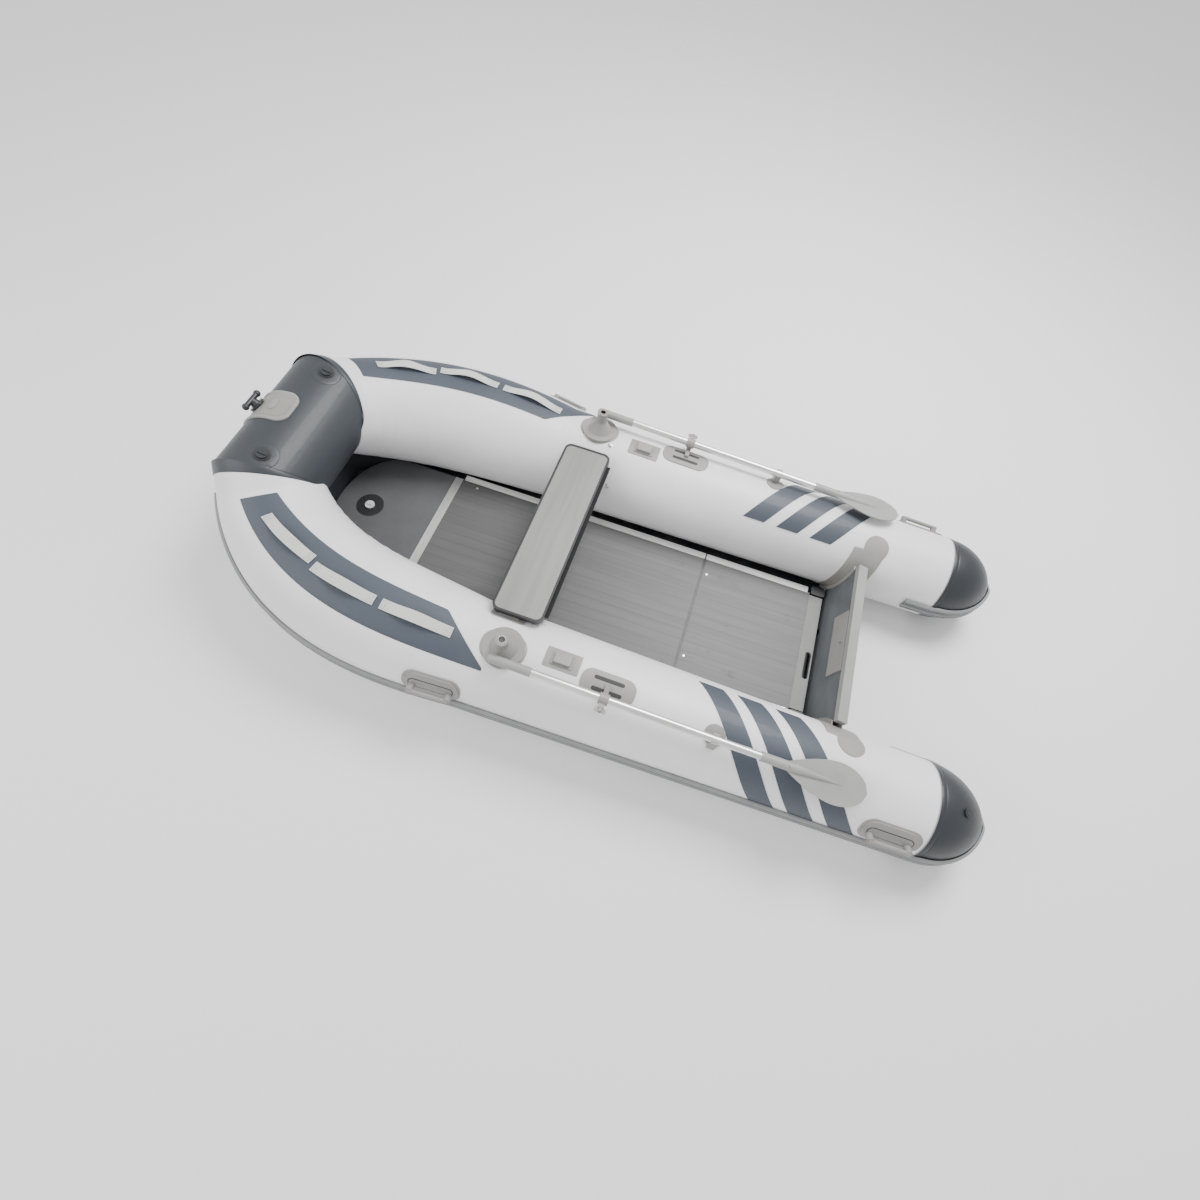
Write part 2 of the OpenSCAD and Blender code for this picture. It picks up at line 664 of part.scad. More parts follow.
// Thwart: a hollow extruded board in a trim, on two moulded brackets
seat_corner = 30;
seat_trim_t = 6;
seat_lip = 1.7;
seat_inner_w = seat_w - 2 * seat_trim_t;
seat_inner_l = 2 * (seat_half_l - seat_trim_t);
module seat_frame() { translate([seat_x + seat_w / 2, 0, seat_z - seat_t]) children(); }
module seat_board() {
    color(metal) boat() seat_frame() difference() {
        translate([0, 0, seat_lip + 0.3])
            slab(seat_inner_w - 1, seat_inner_l - 1, seat_corner - seat_trim_t, seat_t - 2 * seat_lip - 0.6);
        for (k = [-1.5:1:1.5]) translate([k * 43 - 19, -seat_half_l - 10, 5])
            cube([38, 2 * seat_half_l + 20, seat_t - 10]);
    }
}
module seat_trim() {
    color(dark) boat() seat_frame() difference() {
        slab(seat_w, 2 * seat_half_l, seat_corner, seat_t);
        translate([0, 0, seat_lip])
            slab(seat_inner_w, seat_inner_l, seat_corner - seat_trim_t, seat_t - 2 * seat_lip);
        translate([0, 0, -1]) slab(seat_w - 17, 2 * seat_half_l - 17, seat_corner - 8.5, seat_t + 2);
    }
}
webbing_end_w = [66, 38];
webbing_half_l = seat_half_l - 40;
module seat_webbing() {
    color(dark) boat() translate([seat_x + seat_w + 12, 0, seat_z - seat_t - 3.2])
        linear_extrude(height = 2.5) polygon([
            [0, -webbing_half_l], [0, webbing_half_l], [-webbing_end_w[1], webbing_half_l],
            [-webbing_end_w[0], -webbing_half_l]
        ]);
}
bracket_l = 130;
bracket_phi = -34;
module seat_bracket() {
    i = station(seat_x + 70);
    on_port_tube(i, bracket_phi) patch(tube_r(i), bracket_l, 56, 12, 3);
    difference() {
        translate([seat_x + 30, -seat_half_l - 2, seat_z - seat_t - 44]) cube([80, 40, 43.5]);
        port_cone(glue + 1, joint_x - 30, cap_x);
    }
}
module seat_brackets() { color(moulded) boat() both_sides() seat_bracket(); }

// Floor: a bow board, three ribbed boards, joiners and strips between them, and side stringers
bow_board_front = 260;
bow_board_half_w = 284;
bow_board_round = 190;
recess_x = 403;
recess_r = 59;
module floor_frame() { translate([0, 0, floor_z]) children(); }
module bow_board() {
    color(slate) boat() floor_frame() difference() {
        translate([0, 0, -12]) linear_extrude(height = 12) {
            polygon([[bow_board_front + bow_board_round, -bow_board_half_w], [joiner_x + 8, -board_half_w],
                     [joiner_x + 8, board_half_w], [bow_board_front + bow_board_round, bow_board_half_w]]);
            translate([bow_board_front + bow_board_round, 0]) scale([bow_board_round / bow_board_half_w, 1])
                circle(r = bow_board_half_w);
        }
        translate([joiner_x - 0.3, -400, -30]) cube([400, 800, 40]);
        translate([recess_x, 0, -3]) cylinder(h = 4, r = recess_r);
        translate([recess_x, 0, -13]) cylinder(h = 20, r = valve_hole_r + running);
    }
}
strip_w = 12;
groove_reach = 4;
module floor_sheet(x0, x1) {
    floor_frame() {
        translate([x0, -board_half_w, -board_t]) cube([x1 - x0, 2 * board_half_w, board_t]);
        for (k = [-4:4]) translate([x0 + 4, k * 62 - 1.5, -board_t - rib_h])
            cube([x1 - x0 - 8, 3, rib_h + 0.5]);
    }
}
fore_board_x = joiner_x + joiner_w;
strip_edge = strip_w / 2 + 0.3;
module floor_board_fore() {
    color(floor_grey) boat() floor_sheet(fore_board_x + 0.3, board_joint_1 - strip_edge);
}
module floor_board_mid() {
    color(floor_grey) boat() floor_sheet(board_joint_1 + strip_edge, board_joint_2 - strip_edge);
}
module floor_board_aft() {
    color(floor_grey) boat() floor_sheet(board_joint_2 + strip_edge, floor_end_x - 0.3);
}
module floor_joiners() {
    color(metal) boat() floor_frame() translate([joiner_x, -board_half_w, -board_t - 10])
        cube([joiner_w, 2 * board_half_w, board_t + 10.8]);
}
strip_half_l = board_half_w - groove_reach - 0.3;
module floor_strips() {
    color(dark) boat() floor_frame() {
        for (x = [board_joint_1, board_joint_2]) translate([x - strip_w / 2, -strip_half_l, -board_t - 10])
            cube([strip_w, 2 * strip_half_l, board_t + 10.4]);
        for (s = [-1, 1]) translate([floor_end_x + 32, s * (board_half_w + 15), -14]) slab(60, 42, 8, 20);
        translate([recess_x, 0, -2.8]) difference() {
            cylinder(h = 2, r = recess_r - 0.6);
            translate([0, 0, -1]) cylinder(h = 4, r = valve_flange_r + 0.5);
        }
    }
}
stringer_h = 20;
stringer_wall = 2;
stringer_y = board_half_w + 0.5;
stringer_end = 2350;
module stringer(x0, x1) {
    floor_frame() translate([x0, stringer_y, 0]) {
        difference() {
            translate([0, 0, 4 - stringer_h]) cube([x1 - x0, stringer_w, stringer_h]);
            translate([-1, stringer_wall, 4 - stringer_h + stringer_wall])
                cube([x1 - x0 + 2, stringer_w - 2 * stringer_wall, stringer_h - 2 * stringer_wall]);
        }
        translate([0, -groove_reach, 0.4]) cube([x1 - x0, groove_reach + 1, 2]);
        translate([0, -groove_reach, -board_t - 2.5]) cube([x1 - x0, groove_reach + 1, 2]);
        for (k = [0:3]) translate([0, 3 + k * (stringer_w - 8) / 3, 3.5]) cube([x1 - x0, 2, 1.7]);
    }
}
module floor_stringers() {
    color(metal) boat() both_sides() {
        stringer(fore_board_x + 8, board_joint_2 - 3);
        stringer(board_joint_2 + 3, stringer_end);
    }
}
hole_l = 126;
hole_w = 25;
hole_x = 2402;
hole_y = -67;
module floor_end_trim() {
    color(moulded) boat() floor_frame() difference() {
        translate([floor_end_x, -board_half_w + 12, -12]) cube([end_trim_w, 2 * board_half_w - 24, 13]);
        translate([hole_x, hole_y, -20]) slab(hole_w, hole_l, hole_w / 2 - 0.1, 30);
    }
}
board_screws = [[797, 260], [797, -260], [1904, 205], [1904, -205]];
joiner_screws = [[joiner_x + joiner_w / 2, 200], [joiner_x + joiner_w / 2, -200]];
module floor_screws() {
    color(metal) boat() floor_frame() {
        for (p = board_screws) translate([p[0], p[1], 0.1]) screw_head();
        for (p = joiner_screws) translate([p[0], p[1], 0.9]) screw_head();
    }
}
module screw_head() {
    difference() {
        cylinder(h = 2, r1 = 6, r2 = 4);
        translate([-5, -0.6, 1]) cube([10, 1.2, 3]);
    }
}

// Transom: raked board with its side edges cut to the tubes, cap, pads and glued holders
transom_low = 64;
transom_h = (transom_z - floor_z) / cos(transom_rake);
module on_transom() { translate([transom_x, 0, floor_z]) rotate([0, transom_rake, 0]) children(); }
drain_y = 120;
drain_up = -30;
drain_r = 16;
module transom_board() {
    color(slate) boat() difference() {
        on_transom() translate([0, -transom_half_w, -transom_low])
            cube([transom_t, 2 * transom_half_w, transom_low + transom_h - 5]);
        both_sides() port_cone(3.6, joint_x, cap_x);
        on_transom() translate([-1, drain_y, drain_up]) rotate([0, 90, 0])
            cylinder(h = transom_t + 2, r = drain_r + 0.2);
    }
}
cap_lip = 5;
cap_depth = 24;
module transom_cap() {
    color(fabric) boat() difference() {
        on_transom() difference() {
            translate([-cap_lip, -transom_half_w - 8, transom_h - cap_depth])
                cube([transom_t + 2 * cap_lip, 2 * transom_half_w + 16, cap_depth]);
            translate([-0.3, -transom_half_w - 1, transom_h - cap_depth - 1])
                cube([transom_t + 0.6, 2 * transom_half_w + 2, cap_depth - 3.5]);
        }
        both_sides() port_cone(3.6, joint_x, cap_x);
    }
}
plate_half_w = 137;
plate_low = 96;
plate_t = 6;
plate_top = 30;
module motor_plates() {
    color(moulded) boat() on_transom() difference() {
        for (x = [-plate_t - 0.3, transom_t + 0.3]) translate([x, -plate_half_w, plate_low])
            cube([plate_t, 2 * plate_half_w, transom_h - plate_low - plate_top]);
        translate([-20, -10, plate_low + 62]) rotate([0, 90, 0]) cylinder(h = 18, r = 11);
    }
}
holder_t = 3;
holder_web = 20;
holder_reach = 48;
holder_lobe_x = 2528;
holder_lobe_r = 50;
module holder_band(x, w) { on_transom() translate([x, -tube_y, -120]) cube([w, tube_y - 250, 500]); }
module transom_holder() {
    difference() {
        intersection() {
            port_cone(glue + holder_t, joint_x, cap_x);
            union() {
                intersection() {
                    holder_band(-holder_reach, 2 * holder_reach + transom_t);
                    translate([joint_x, -tube_y + 78, 38]) cube([cap_x, 400, 300]);
                }
                translate([holder_lobe_x, -tube_y + 86, 200]) cylinder(h = 300, r = holder_lobe_r);
            }
        }
        port_cone(glue, joint_x - 10, cap_x + 10);
    }
    difference() {
        intersection() {
            port_cone(glue + holder_web, joint_x, cap_x);
            union() {
                holder_band(-5.4, 5);
                holder_band(transom_t + 0.4, 5);
            }
            translate([joint_x, -tube_y + 100, 36]) cube([cap_x, 400, transom_z - 70]);
        }
        port_cone(glue + 1, joint_x - 10, cap_x + 10);
    }
}
module transom_holders() { color(moulded) boat() both_sides() transom_holder(); }

// Inflatable keel under the boards and the hull's bottom skin
keel_r = 26;
keel_top = floor_z - board_t - rib_h - 0.6;
keel_nose_x = 350;
keel_end = 2380;
module keel_tube() {
    color(fabric) boat() difference() {
        translate([keel_nose_x, 0, keel_top - keel_r]) rotate([0, 90, 0])
            cylinder(h = keel_end - keel_nose_x, r = keel_r);
        translate([recess_x + 60, 0, keel_top - keel_r]) rotate([0, 90, 0])
            cylinder(h = keel_end - recess_x - 64, r = keel_r - 2);
        translate([recess_x, 0, keel_top - 14]) cylinder(h = 50, r = valve_hole_r + running);
    }
}
skin_low = 12;
skin_knuckle = 26;
skin_fore = 700;
skin_last = 21;
function skin_fall(x) = max(0, (skin_fore - x) / 450);
function skin_edge(i) = on_tube(i, -150, curved_glue + skin_gauge);
function skin_ring(i) = let (
    e = skin_edge(i), k = [e[0], e[1] * 0.98, skin_knuckle + 58 * pow(skin_fall(e[0]), 2)],
    c = [e[0], 0, skin_low + 56 * pow(max(0, (600 - e[0]) / 350), 3)]
) skin_points(e, k, c, i > 14 ? skin_gauge : 0);
skin_gauge = 2.1;
function flip(p) = [p[0], -p[1], p[2]];
function skin_points(e, k, c, aft) = let (
    s = (k - e) / norm(k - e), in_e = e + [aft, -s[2] * skin_gauge, s[1] * skin_gauge],
    in_k = k + [aft, 1.8, 2], in_c = c + [aft, 0, skin_gauge]
) [
    e, k, c, flip(k), flip(e), flip(in_e), flip(in_k), in_c, in_k, in_e
];
module hull_skin() {
    e = skin_edge(skin_last + 1);
    color(fabric) boat() swept(concat(
        [for (x = [2446, 2100, 1700, 1400]) skin_ring(station(x))],
        [for (i = [0:skin_last]) skin_ring(i)],
        [skin_points(e, e - [6, e[1] * 0.3, 5], [e[0] - 13, 0, e[2] - 8], skin_gauge)]
    ));
}

// Inflation valves: a flanged body and a quarter-turn cap, at each bow end and for the keel
valve_bore_r = 13;
valve_deep = 24;
cap_r = 20;
module valve_body() {
    difference() {
        union() {
            cylinder(h = 3, r = valve_flange_r);
            translate([0, 0, -valve_deep]) cylinder(h = valve_deep + 1, r = valve_hole_r);
        }
        translate([0, 0, -valve_deep + 3]) cylinder(h = valve_deep + 10, r = valve_bore_r);
    }
}
module valve_cap() {
    translate([0, 0, 3.3]) {
        cylinder(h = 6, r = cap_r);
        translate([0, 0, 5]) linear_extrude(height = 5) rounded(30, 7, 3);
        translate([0, 0, -14]) cylinder(h = 15, r = valve_bore_r - running);
    }
}
valve_seat = 1.4;
module bow_valve_place() { at_bow_valve() translate([0, 0, valve_seat]) children(); }
module keel_valve_place() { translate([recess_x, 0, floor_z - 2.6]) children(); }
relief_x = 84;
relief_slope = asin(relief_x / cap_arc_r);
module relief_place() {
    translate([cap_x, -tube_y, stern_r]) rotate([5, 0, 0]) translate([0, 0, stern_r - cap_arc_r])
        rotate([0, relief_slope, 0]) translate([0, 0, cap_arc_r]) children();
}
module valve_bodies() {
    color(dark) boat() {
        both_sides() bow_valve_place() difference() {
            valve_body();
            translate([0, 0, -bow_r - valve_seat]) rotate([90, 0, 0]) difference() {
                cylinder(h = 90, r = bow_r + 0.3, center = true);
                translate([0, 0, -50]) cylinder(h = 100, r = bow_r - 60);
                translate([0, bow_r - 30, 0]) rotate([90, 0, 0])
                    cylinder(h = 90, r = valve_hole_r + eps, center = true);
            }
        }
        keel_valve_place() valve_body();
        relief_place() translate([0, 0, 3.2]) {
            cylinder(h = 3, r = 16);
            cylinder(h = 5, r1 = 11, r2 = 9);
        }
    }
}
module valve_cap_port() { color(dark) boat() bow_valve_place() valve_cap(); }
module valve_cap_starboard() { color(dark) boat() starboard() bow_valve_place() valve_cap(); }
module valve_cap_keel() { color(fabric) boat() keel_valve_place() valve_cap(); }

// Drain through the foot of the transom with a screw plug on the outside
drain_flange_r = 24;
drain_bore_r = 10;
module on_drain() { on_transom() translate([0, drain_y, drain_up]) rotate([0, 90, 0]) children(); }
module drain_socket() {
    color(dark) boat() on_drain() difference() {
        union() {
            translate([0, 0, 0.3]) translate([0, 0, transom_t]) cylinder(h = 3, r = drain_flange_r);
            translate([0, 0, -2]) cylinder(h = transom_t + 4, r = drain_r);
        }
        translate([0, 0, -5]) cylinder(h = transom_t + 20, r = drain_bore_r);
    }
}
module drain_plug() {
    color(dark) boat() on_drain() translate([0, 0, transom_t + 3.6]) {
        cylinder(h = 7, r = 16);
        translate([0, 0, 6]) linear_extrude(height = 6) rounded(6, 26, 2.9);
        translate([0, 0, -18]) cylinder(h = 19, r = drain_bore_r - running);
    }
}

tube_port();
tube_starboard();
bow_tube_port();
bow_tube_starboard();
bow_section();
stern_cap_port();
stern_cap_starboard();
bulkheads();
strake_port();
strake_starboard();
chafe_panel_port();
chafe_panel_starboard();
grab_straps();
stern_stripes();
bow_patch();
tow_cleat();
handle_fore_port();
handle_fore_starboard();
handle_aft_port();
handle_aft_starboard();
pole_sockets();
socket_liners();
lashing_patches();
rowlock_bases();
rowlock_nut_port();
rowlock_nut_starboard();
oar_clips();
oar_shaft_port();
oar_shaft_starboard();
oar_grip_port();
oar_grip_starboard();
oar_blade_port();
oar_blade_starboard();
oar_button_port();
oar_button_starboard();
seat_board();
seat_trim();
seat_webbing();
seat_brackets();
bow_board();
floor_board_fore();
floor_board_mid();
floor_board_aft();
floor_joiners();
floor_strips();
floor_stringers();
floor_end_trim();
floor_screws();
transom_board();
transom_cap();
motor_plates();
transom_holders();
keel_tube();
hull_skin();
valve_bodies();
valve_cap_port();
valve_cap_starboard();
valve_cap_keel();
drain_socket();
drain_plug();
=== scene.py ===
"""Looks of the inflatable dinghy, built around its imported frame."""
import json
import math

import bmesh
import bpy
from mathutils import Matrix, Vector, noise


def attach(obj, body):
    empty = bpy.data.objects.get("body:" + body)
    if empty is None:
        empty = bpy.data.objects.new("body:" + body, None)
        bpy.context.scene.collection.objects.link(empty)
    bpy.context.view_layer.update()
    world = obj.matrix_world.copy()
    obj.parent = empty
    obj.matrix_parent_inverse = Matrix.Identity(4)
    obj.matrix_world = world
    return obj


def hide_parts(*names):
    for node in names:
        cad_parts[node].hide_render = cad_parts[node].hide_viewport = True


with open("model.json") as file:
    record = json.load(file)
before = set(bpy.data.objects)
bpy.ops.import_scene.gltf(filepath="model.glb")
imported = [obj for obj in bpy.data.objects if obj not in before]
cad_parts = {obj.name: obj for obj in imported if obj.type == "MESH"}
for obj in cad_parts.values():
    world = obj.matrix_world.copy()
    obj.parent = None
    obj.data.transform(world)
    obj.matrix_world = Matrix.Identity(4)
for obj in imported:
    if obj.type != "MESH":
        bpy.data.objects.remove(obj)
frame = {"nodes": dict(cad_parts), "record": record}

bl_info = {
    "name": "Inflatable dinghy looks",
    "version": (1, 0, 0),
    "blender": (4, 5, 0),
    "location": "3D Viewport > Sidebar > Dinghy",
    "description": "Builds the fabric, fittings, materials and studio of an inflatable dinghy",
    "category": "Object",
}

NODES = frame["nodes"]
MM = 0.001

# Sizes and places that follow part.scad, in millimetres and degrees
HULL_L, TUBE_Y, MID_R, STERN_R, JOINT_X, CAP_L, CAP_TIP_R = 3100, 521, 206, 177, 1128, 220, 46
CURVE_R, BOW_R, CURVE_L, BOW_TURN, TURN_POWER, BOW_CLIMB, CLIMB_POWER = 229, 183, 1098, 63, 2.2, 42, 2.3
STRAKE_H, STRAKE_PHI = 11, 92
BOW_PATCH_PHI = 30
VALVE_Y, VALVE_PHI = 222, -14
SOCKET_X, LASH_X, ROWLOCK_X = 1266, 1476, 1654
SOCKET_PHI, LASH_PHI, ROWLOCK_PHI = 6, -2, 8
HANDLE_L, HANDLE_W = 200, 92
FORE_HANDLE, AFT_HANDLE = ("fore", 1060, 70, 1.4), ("aft", 2733, 62, 0.0)
STRIPE_TOPS, STRIPE_HALF_W, STRIPE_SLANT = (2103, 2249, 2395), 46, 2.33
STRIPE_FROM, STRIPE_TO = -42, 82
STRAP_HALF_W = 19
UPPER_STUD, LOWER_STUD = (1334, -12), (1374, -60)
STUD = [(0, 0.3), (0.3, 2.5), (3, 3.4), (3.4, 8.5), (4.6, 9.6)]
STEPS = 24
STEP_L = CURVE_L / STEPS
CAP_X = HULL_L - CAP_L - STRAKE_H
TAPER = (MID_R - STERN_R) / (CAP_X - JOINT_X)
CAP_TIP_L = CAP_L - CAP_TIP_R
CAP_ARC_R = (STERN_R ** 2 + CAP_TIP_L ** 2 - CAP_TIP_R ** 2) / (2 * (STERN_R - CAP_TIP_R))
CAP_TIP_ANGLE = math.atan2(CAP_TIP_L, CAP_ARC_R - STERN_R)
MIDDLE_X = 1549.19


def sin(a):
    return math.sin(math.radians(a))


def cos(a):
    return math.cos(math.radians(a))


def smooth(t):
    t = min(max(t, 0.0), 1.0)
    return t * t * (3 - 2 * t)


# ---- the hull's centre line, the same as in the CAD source ----
def heading(i):
    return 0.0 if i <= 0 else BOW_TURN * (i / STEPS) ** TURN_POWER


def climb(i):
    return 0.0 if i <= 0 else BOW_CLIMB * (i / STEPS) ** CLIMB_POWER


def along(a, b):
    return Vector((-cos(a) * cos(b), sin(a) * cos(b), sin(b)))


CURVE = [Vector((JOINT_X, -TUBE_Y, 0))]
for _k in range(STEPS):
    CURVE.append(CURVE[-1] + STEP_L * along(heading(_k + 0.5), climb(_k + 0.5)))


def tube_r(i):
    if i <= 0:
        return MID_R - TAPER * (-i * STEP_L)
    u = min(i / STEPS, 1)
    return MID_R * (1 - u) * (1 - 2 * u) + CURVE_R * 4 * u * (1 - u) + BOW_R * u * (2 * u - 1)


def on_curve(i):
    k = min(int(i), STEPS - 1)
    t = i - k
    a, b = CURVE[k], CURVE[k + 1]
    before = CURVE[k - 1] if k > 0 else a - Vector((-STEP_L, 0, 0))
    after = CURVE[k + 2] if k + 2 <= STEPS else b + (b - a)
    m0, m1 = (b - before) / 2, (after - a) / 2
    return (
        (2 * t**3 - 3 * t**2 + 1) * a + (t**3 - 2 * t**2 + t) * m0
        + (3 * t**2 - 2 * t**3) * b + (t**3 - t**2) * m1
    )


def centre(i):
    if i <= 0:
        return Vector((JOINT_X - i * STEP_L, -TUBE_Y, tube_r(i)))
    return on_curve(i) + Vector((0, 0, tube_r(i)))


def axes(i):
    ahead = along(heading(i), climb(i))
    out = Vector((-sin(heading(i)), -cos(heading(i)), 0))
    return ahead, out, ahead.cross(out)


def normal(i, phi):
    _, out, up = axes(i)
    return sin(phi) * out + cos(phi) * up


def on_tube(i, phi, off=0.0):
    return centre(i) + (tube_r(i) + off) * normal(i, phi)


def station(x):
    return (JOINT_X - x) / STEP_L


BOW = CURVE[STEPS]
BOW_X, BOW_Z = BOW.x, BOW.z + BOW_R
BOW_AHEAD = along(BOW_TURN, BOW_CLIMB)
MITRE = (BOW_AHEAD + Vector((0, 1, 0))).normalized()


def on_mitre(p):
    return p - BOW_AHEAD * ((p - centre(STEPS)).dot(MITRE) / BOW_AHEAD.dot(MITRE))


def place(p, side=-1):
    """A layout point of the port side, in metres in the row frame; side 1 mirrors it to starboard."""
    return Vector(((p.x - MIDDLE_X) * MM, -side * p.y * MM, p.z * MM))


# ---- mesh helpers ----
def finish_mesh(bm, name, material):
    bmesh.ops.recalc_face_normals(bm, faces=bm.faces[:])
    mesh = bpy.data.meshes.new(name)
    bm.to_mesh(mesh)
    bm.free()
    for f in mesh.polygons:
        f.use_smooth = True
    obj = bpy.data.objects.new(name, mesh)
    bpy.context.scene.collection.objects.link(obj)
    obj.data.materials.append(material)
    return obj


def sheet_map(name, material, nu, nv, fn, side=-1, wrap_u=False, wrap_v=False, sharp=None):
    """A grid laid out by fn(u, v), a layout point; wrapped edges are merged and open ends closed."""
    bm = bmesh.new()
    bmesh.ops.create_grid(bm, x_segments=nu, y_segments=nv, size=1.0)
    for v in bm.verts:
        v.co = place(fn((v.co.x + 1) / 2, (v.co.y + 1) / 2), side)
    if wrap_u or wrap_v:
        bmesh.ops.remove_doubles(bm, verts=bm.verts[:], dist=2e-6)
        edges = [e for e in bm.edges if e.is_boundary]
        if edges:
            bmesh.ops.holes_fill(bm, edges=edges, sides=0)
    obj = finish_mesh(bm, name, material)
    if sharp:
        mark_sharp(obj, sharp)
    return obj


def mark_sharp(obj, angle):
    bm = bmesh.new()
    bm.from_mesh(obj.data)
    for e in bm.edges:
        if len(e.link_faces) == 2 and e.calc_face_angle(0) > math.radians(angle):
            e.smooth = False
    bm.to_mesh(obj.data)
    bm.free()


def bar(bm, a, b, r, segments):
    """A round bar between two layout points, added to bm in layout millimetres."""
    d = b - a
    turn = Vector((0, 0, 1)).rotation_difference(d.normalized()).to_matrix().to_4x4()
    bmesh.ops.create_cone(
        bm, cap_ends=True, segments=segments, radius1=r, radius2=r, depth=d.length,
        matrix=Matrix.Translation((a + b) / 2) @ turn,
    )


def to_frame(bm, side=-1):
    for v in bm.verts:
        v.co = place(v.co, side)


def rounded_outline(l, w, r, steps):
    pts = []
    for sx, sy, start in ((1, 1, 0), (-1, 1, 90), (-1, -1, 180), (1, -1, 270)):
        for k in range(steps + 1):
            a = start + 90 * k / steps
            pts.append((sx * (l / 2 - r) + r * cos(a), sy * (w / 2 - r) + r * sin(a)))
    return pts


def frame_on_tube(i, phi):
    """Layout frame on the tube: x aft along it, z straight out of it."""
    z = normal(i, phi)
    ahead = on_tube(i + 0.5, phi) - on_tube(i - 0.5, phi)
    flat = ahead - ahead.dot(z) * z
    x = -flat.normalized()
    y = z.cross(x)
    m = Matrix((x, y, z)).transposed().to_4x4()
    m.translation = on_tube(i, phi)
    tilt = math.atan2(ahead.dot(z), flat.length)
    return m @ Matrix.Rotation(tilt, 4, "Y")


# ---- shader maths ----
class Value:
    def __init__(self, graph, socket):
        self.graph, self.socket = graph, socket

    def __add__(self, other):
        return self.graph.maths("ADD", self, other)

    __radd__ = __add__

    def __mul__(self, other):
        return self.graph.maths("MULTIPLY", self, other)

    __rmul__ = __mul__

    def __sub__(self, other):
        return self.graph.maths("SUBTRACT", self, other)

    def __rsub__(self, other):
        return self.graph.maths("SUBTRACT", other, self)

    def clamp(self, low, high, to_low=0.0, to_high=1.0):
        n = self.graph.node("ShaderNodeMapRange")
        n.interpolation_type = "SMOOTHSTEP"
        self.graph.put(n.inputs["Value"], self)
        for name, value in (("From Min", low), ("From Max", high), ("To Min", to_low), ("To Max", to_high)):
            n.inputs[name].default_value = value
        return Value(self.graph, n.outputs["Result"])


class Graph:
    def __init__(self, name):
        self.material = bpy.data.materials.new(name)
        self.material.use_nodes = True
        self.tree = self.material.node_tree
        self.bsdf = self.tree.nodes["Principled BSDF"]
        coords = self.node("ShaderNodeTexCoord")
        self.place = Value(self, coords.outputs["Object"])
        split = self.node("ShaderNodeSeparateXYZ")
        self.put(split.inputs[0], self.place)
        self.x, self.y, self.z = (Value(self, split.outputs[k]) for k in range(3))

    def node(self, kind):
        return self.tree.nodes.new(kind)

    def put(self, socket, value):
        if isinstance(value, Value):
            self.tree.links.new(value.socket, socket)
        else:
            socket.default_value = value

    def maths(self, kind, a, b):
        n = self.node("ShaderNodeMath")
        n.operation = kind
        self.put(n.inputs[0], a)
        self.put(n.inputs[1], b)
        return Value(self, n.outputs[0])

    def stretched(self, sx, sy, sz, turn=(0, 0, 0)):
        n = self.node("ShaderNodeMapping")
        self.put(n.inputs["Vector"], self.place)
        n.inputs["Scale"].default_value = (sx, sy, sz)
        n.inputs["Rotation"].default_value = tuple(math.radians(t) for t in turn)
        return Value(self, n.outputs[0])

    def noise(self, scale, detail=4.0, rough=0.55, where=None):
        n = self.node("ShaderNodeTexNoise")
        self.put(n.inputs["Vector"], where or self.place)
        n.inputs["Scale"].default_value = scale
        n.inputs["Detail"].default_value = detail
        n.inputs["Roughness"].default_value = rough
        return Value(self, n.outputs["Fac"])

    def cells(self, scale, where=None):
        n = self.node("ShaderNodeTexVoronoi")
        self.put(n.inputs["Vector"], where or self.place)
        n.inputs["Scale"].default_value = scale
        return Value(self, n.outputs["Distance"])

    def waves(self, scale, axis="X", where=None, distortion=0.0):
        n = self.node("ShaderNodeTexWave")
        self.put(n.inputs["Vector"], where or self.place)
        n.bands_direction = axis
        n.inputs["Scale"].default_value = scale
        n.inputs["Distortion"].default_value = distortion
        return Value(self, n.outputs["Fac"])

    def blend(self, factor, a, b):
        n = self.node("ShaderNodeMix")
        n.data_type = "RGBA"
        self.put(n.inputs[0], factor)
        for socket, colour in ((n.inputs[6], a), (n.inputs[7], b)):
            self.put(socket, colour if isinstance(colour, Value) else (*colour, 1.0))
        return Value(self, n.outputs[2])

    def bump(self, *heights):
        last = None
        for height, distance, strength in heights:
            n = self.node("ShaderNodeBump")
            n.inputs["Strength"].default_value = strength
            n.inputs["Distance"].default_value = distance
            self.put(n.inputs["Height"], height)
            if last:
                self.put(n.inputs["Normal"], last)
            last = Value(self, n.outputs[0])
        return last

    def done(self, colour, rough, metal=0.0, normal=None, coat=0.0):
        sockets = {"Base Color": colour, "Roughness": rough, "Metallic": metal, "Coat Weight": coat}
        for name, value in sockets.items():
            self.put(self.bsdf.inputs[name], value)
        if normal:
            self.put(self.bsdf.inputs["Normal"], normal)
        return self.material


def tint(c, f):
    return tuple(min(max(v * f, 0.0), 1.0) for v in c)


def low_dust_and_shade(g):
    """Mask low on the hull, broken up: dust, and where it darkens a light colour also painted shade of the
    lower sides.
    """
    return g.z.clamp(0.16, 0.0) * g.noise(9, 6, 0.65).clamp(0.42, 0.72)
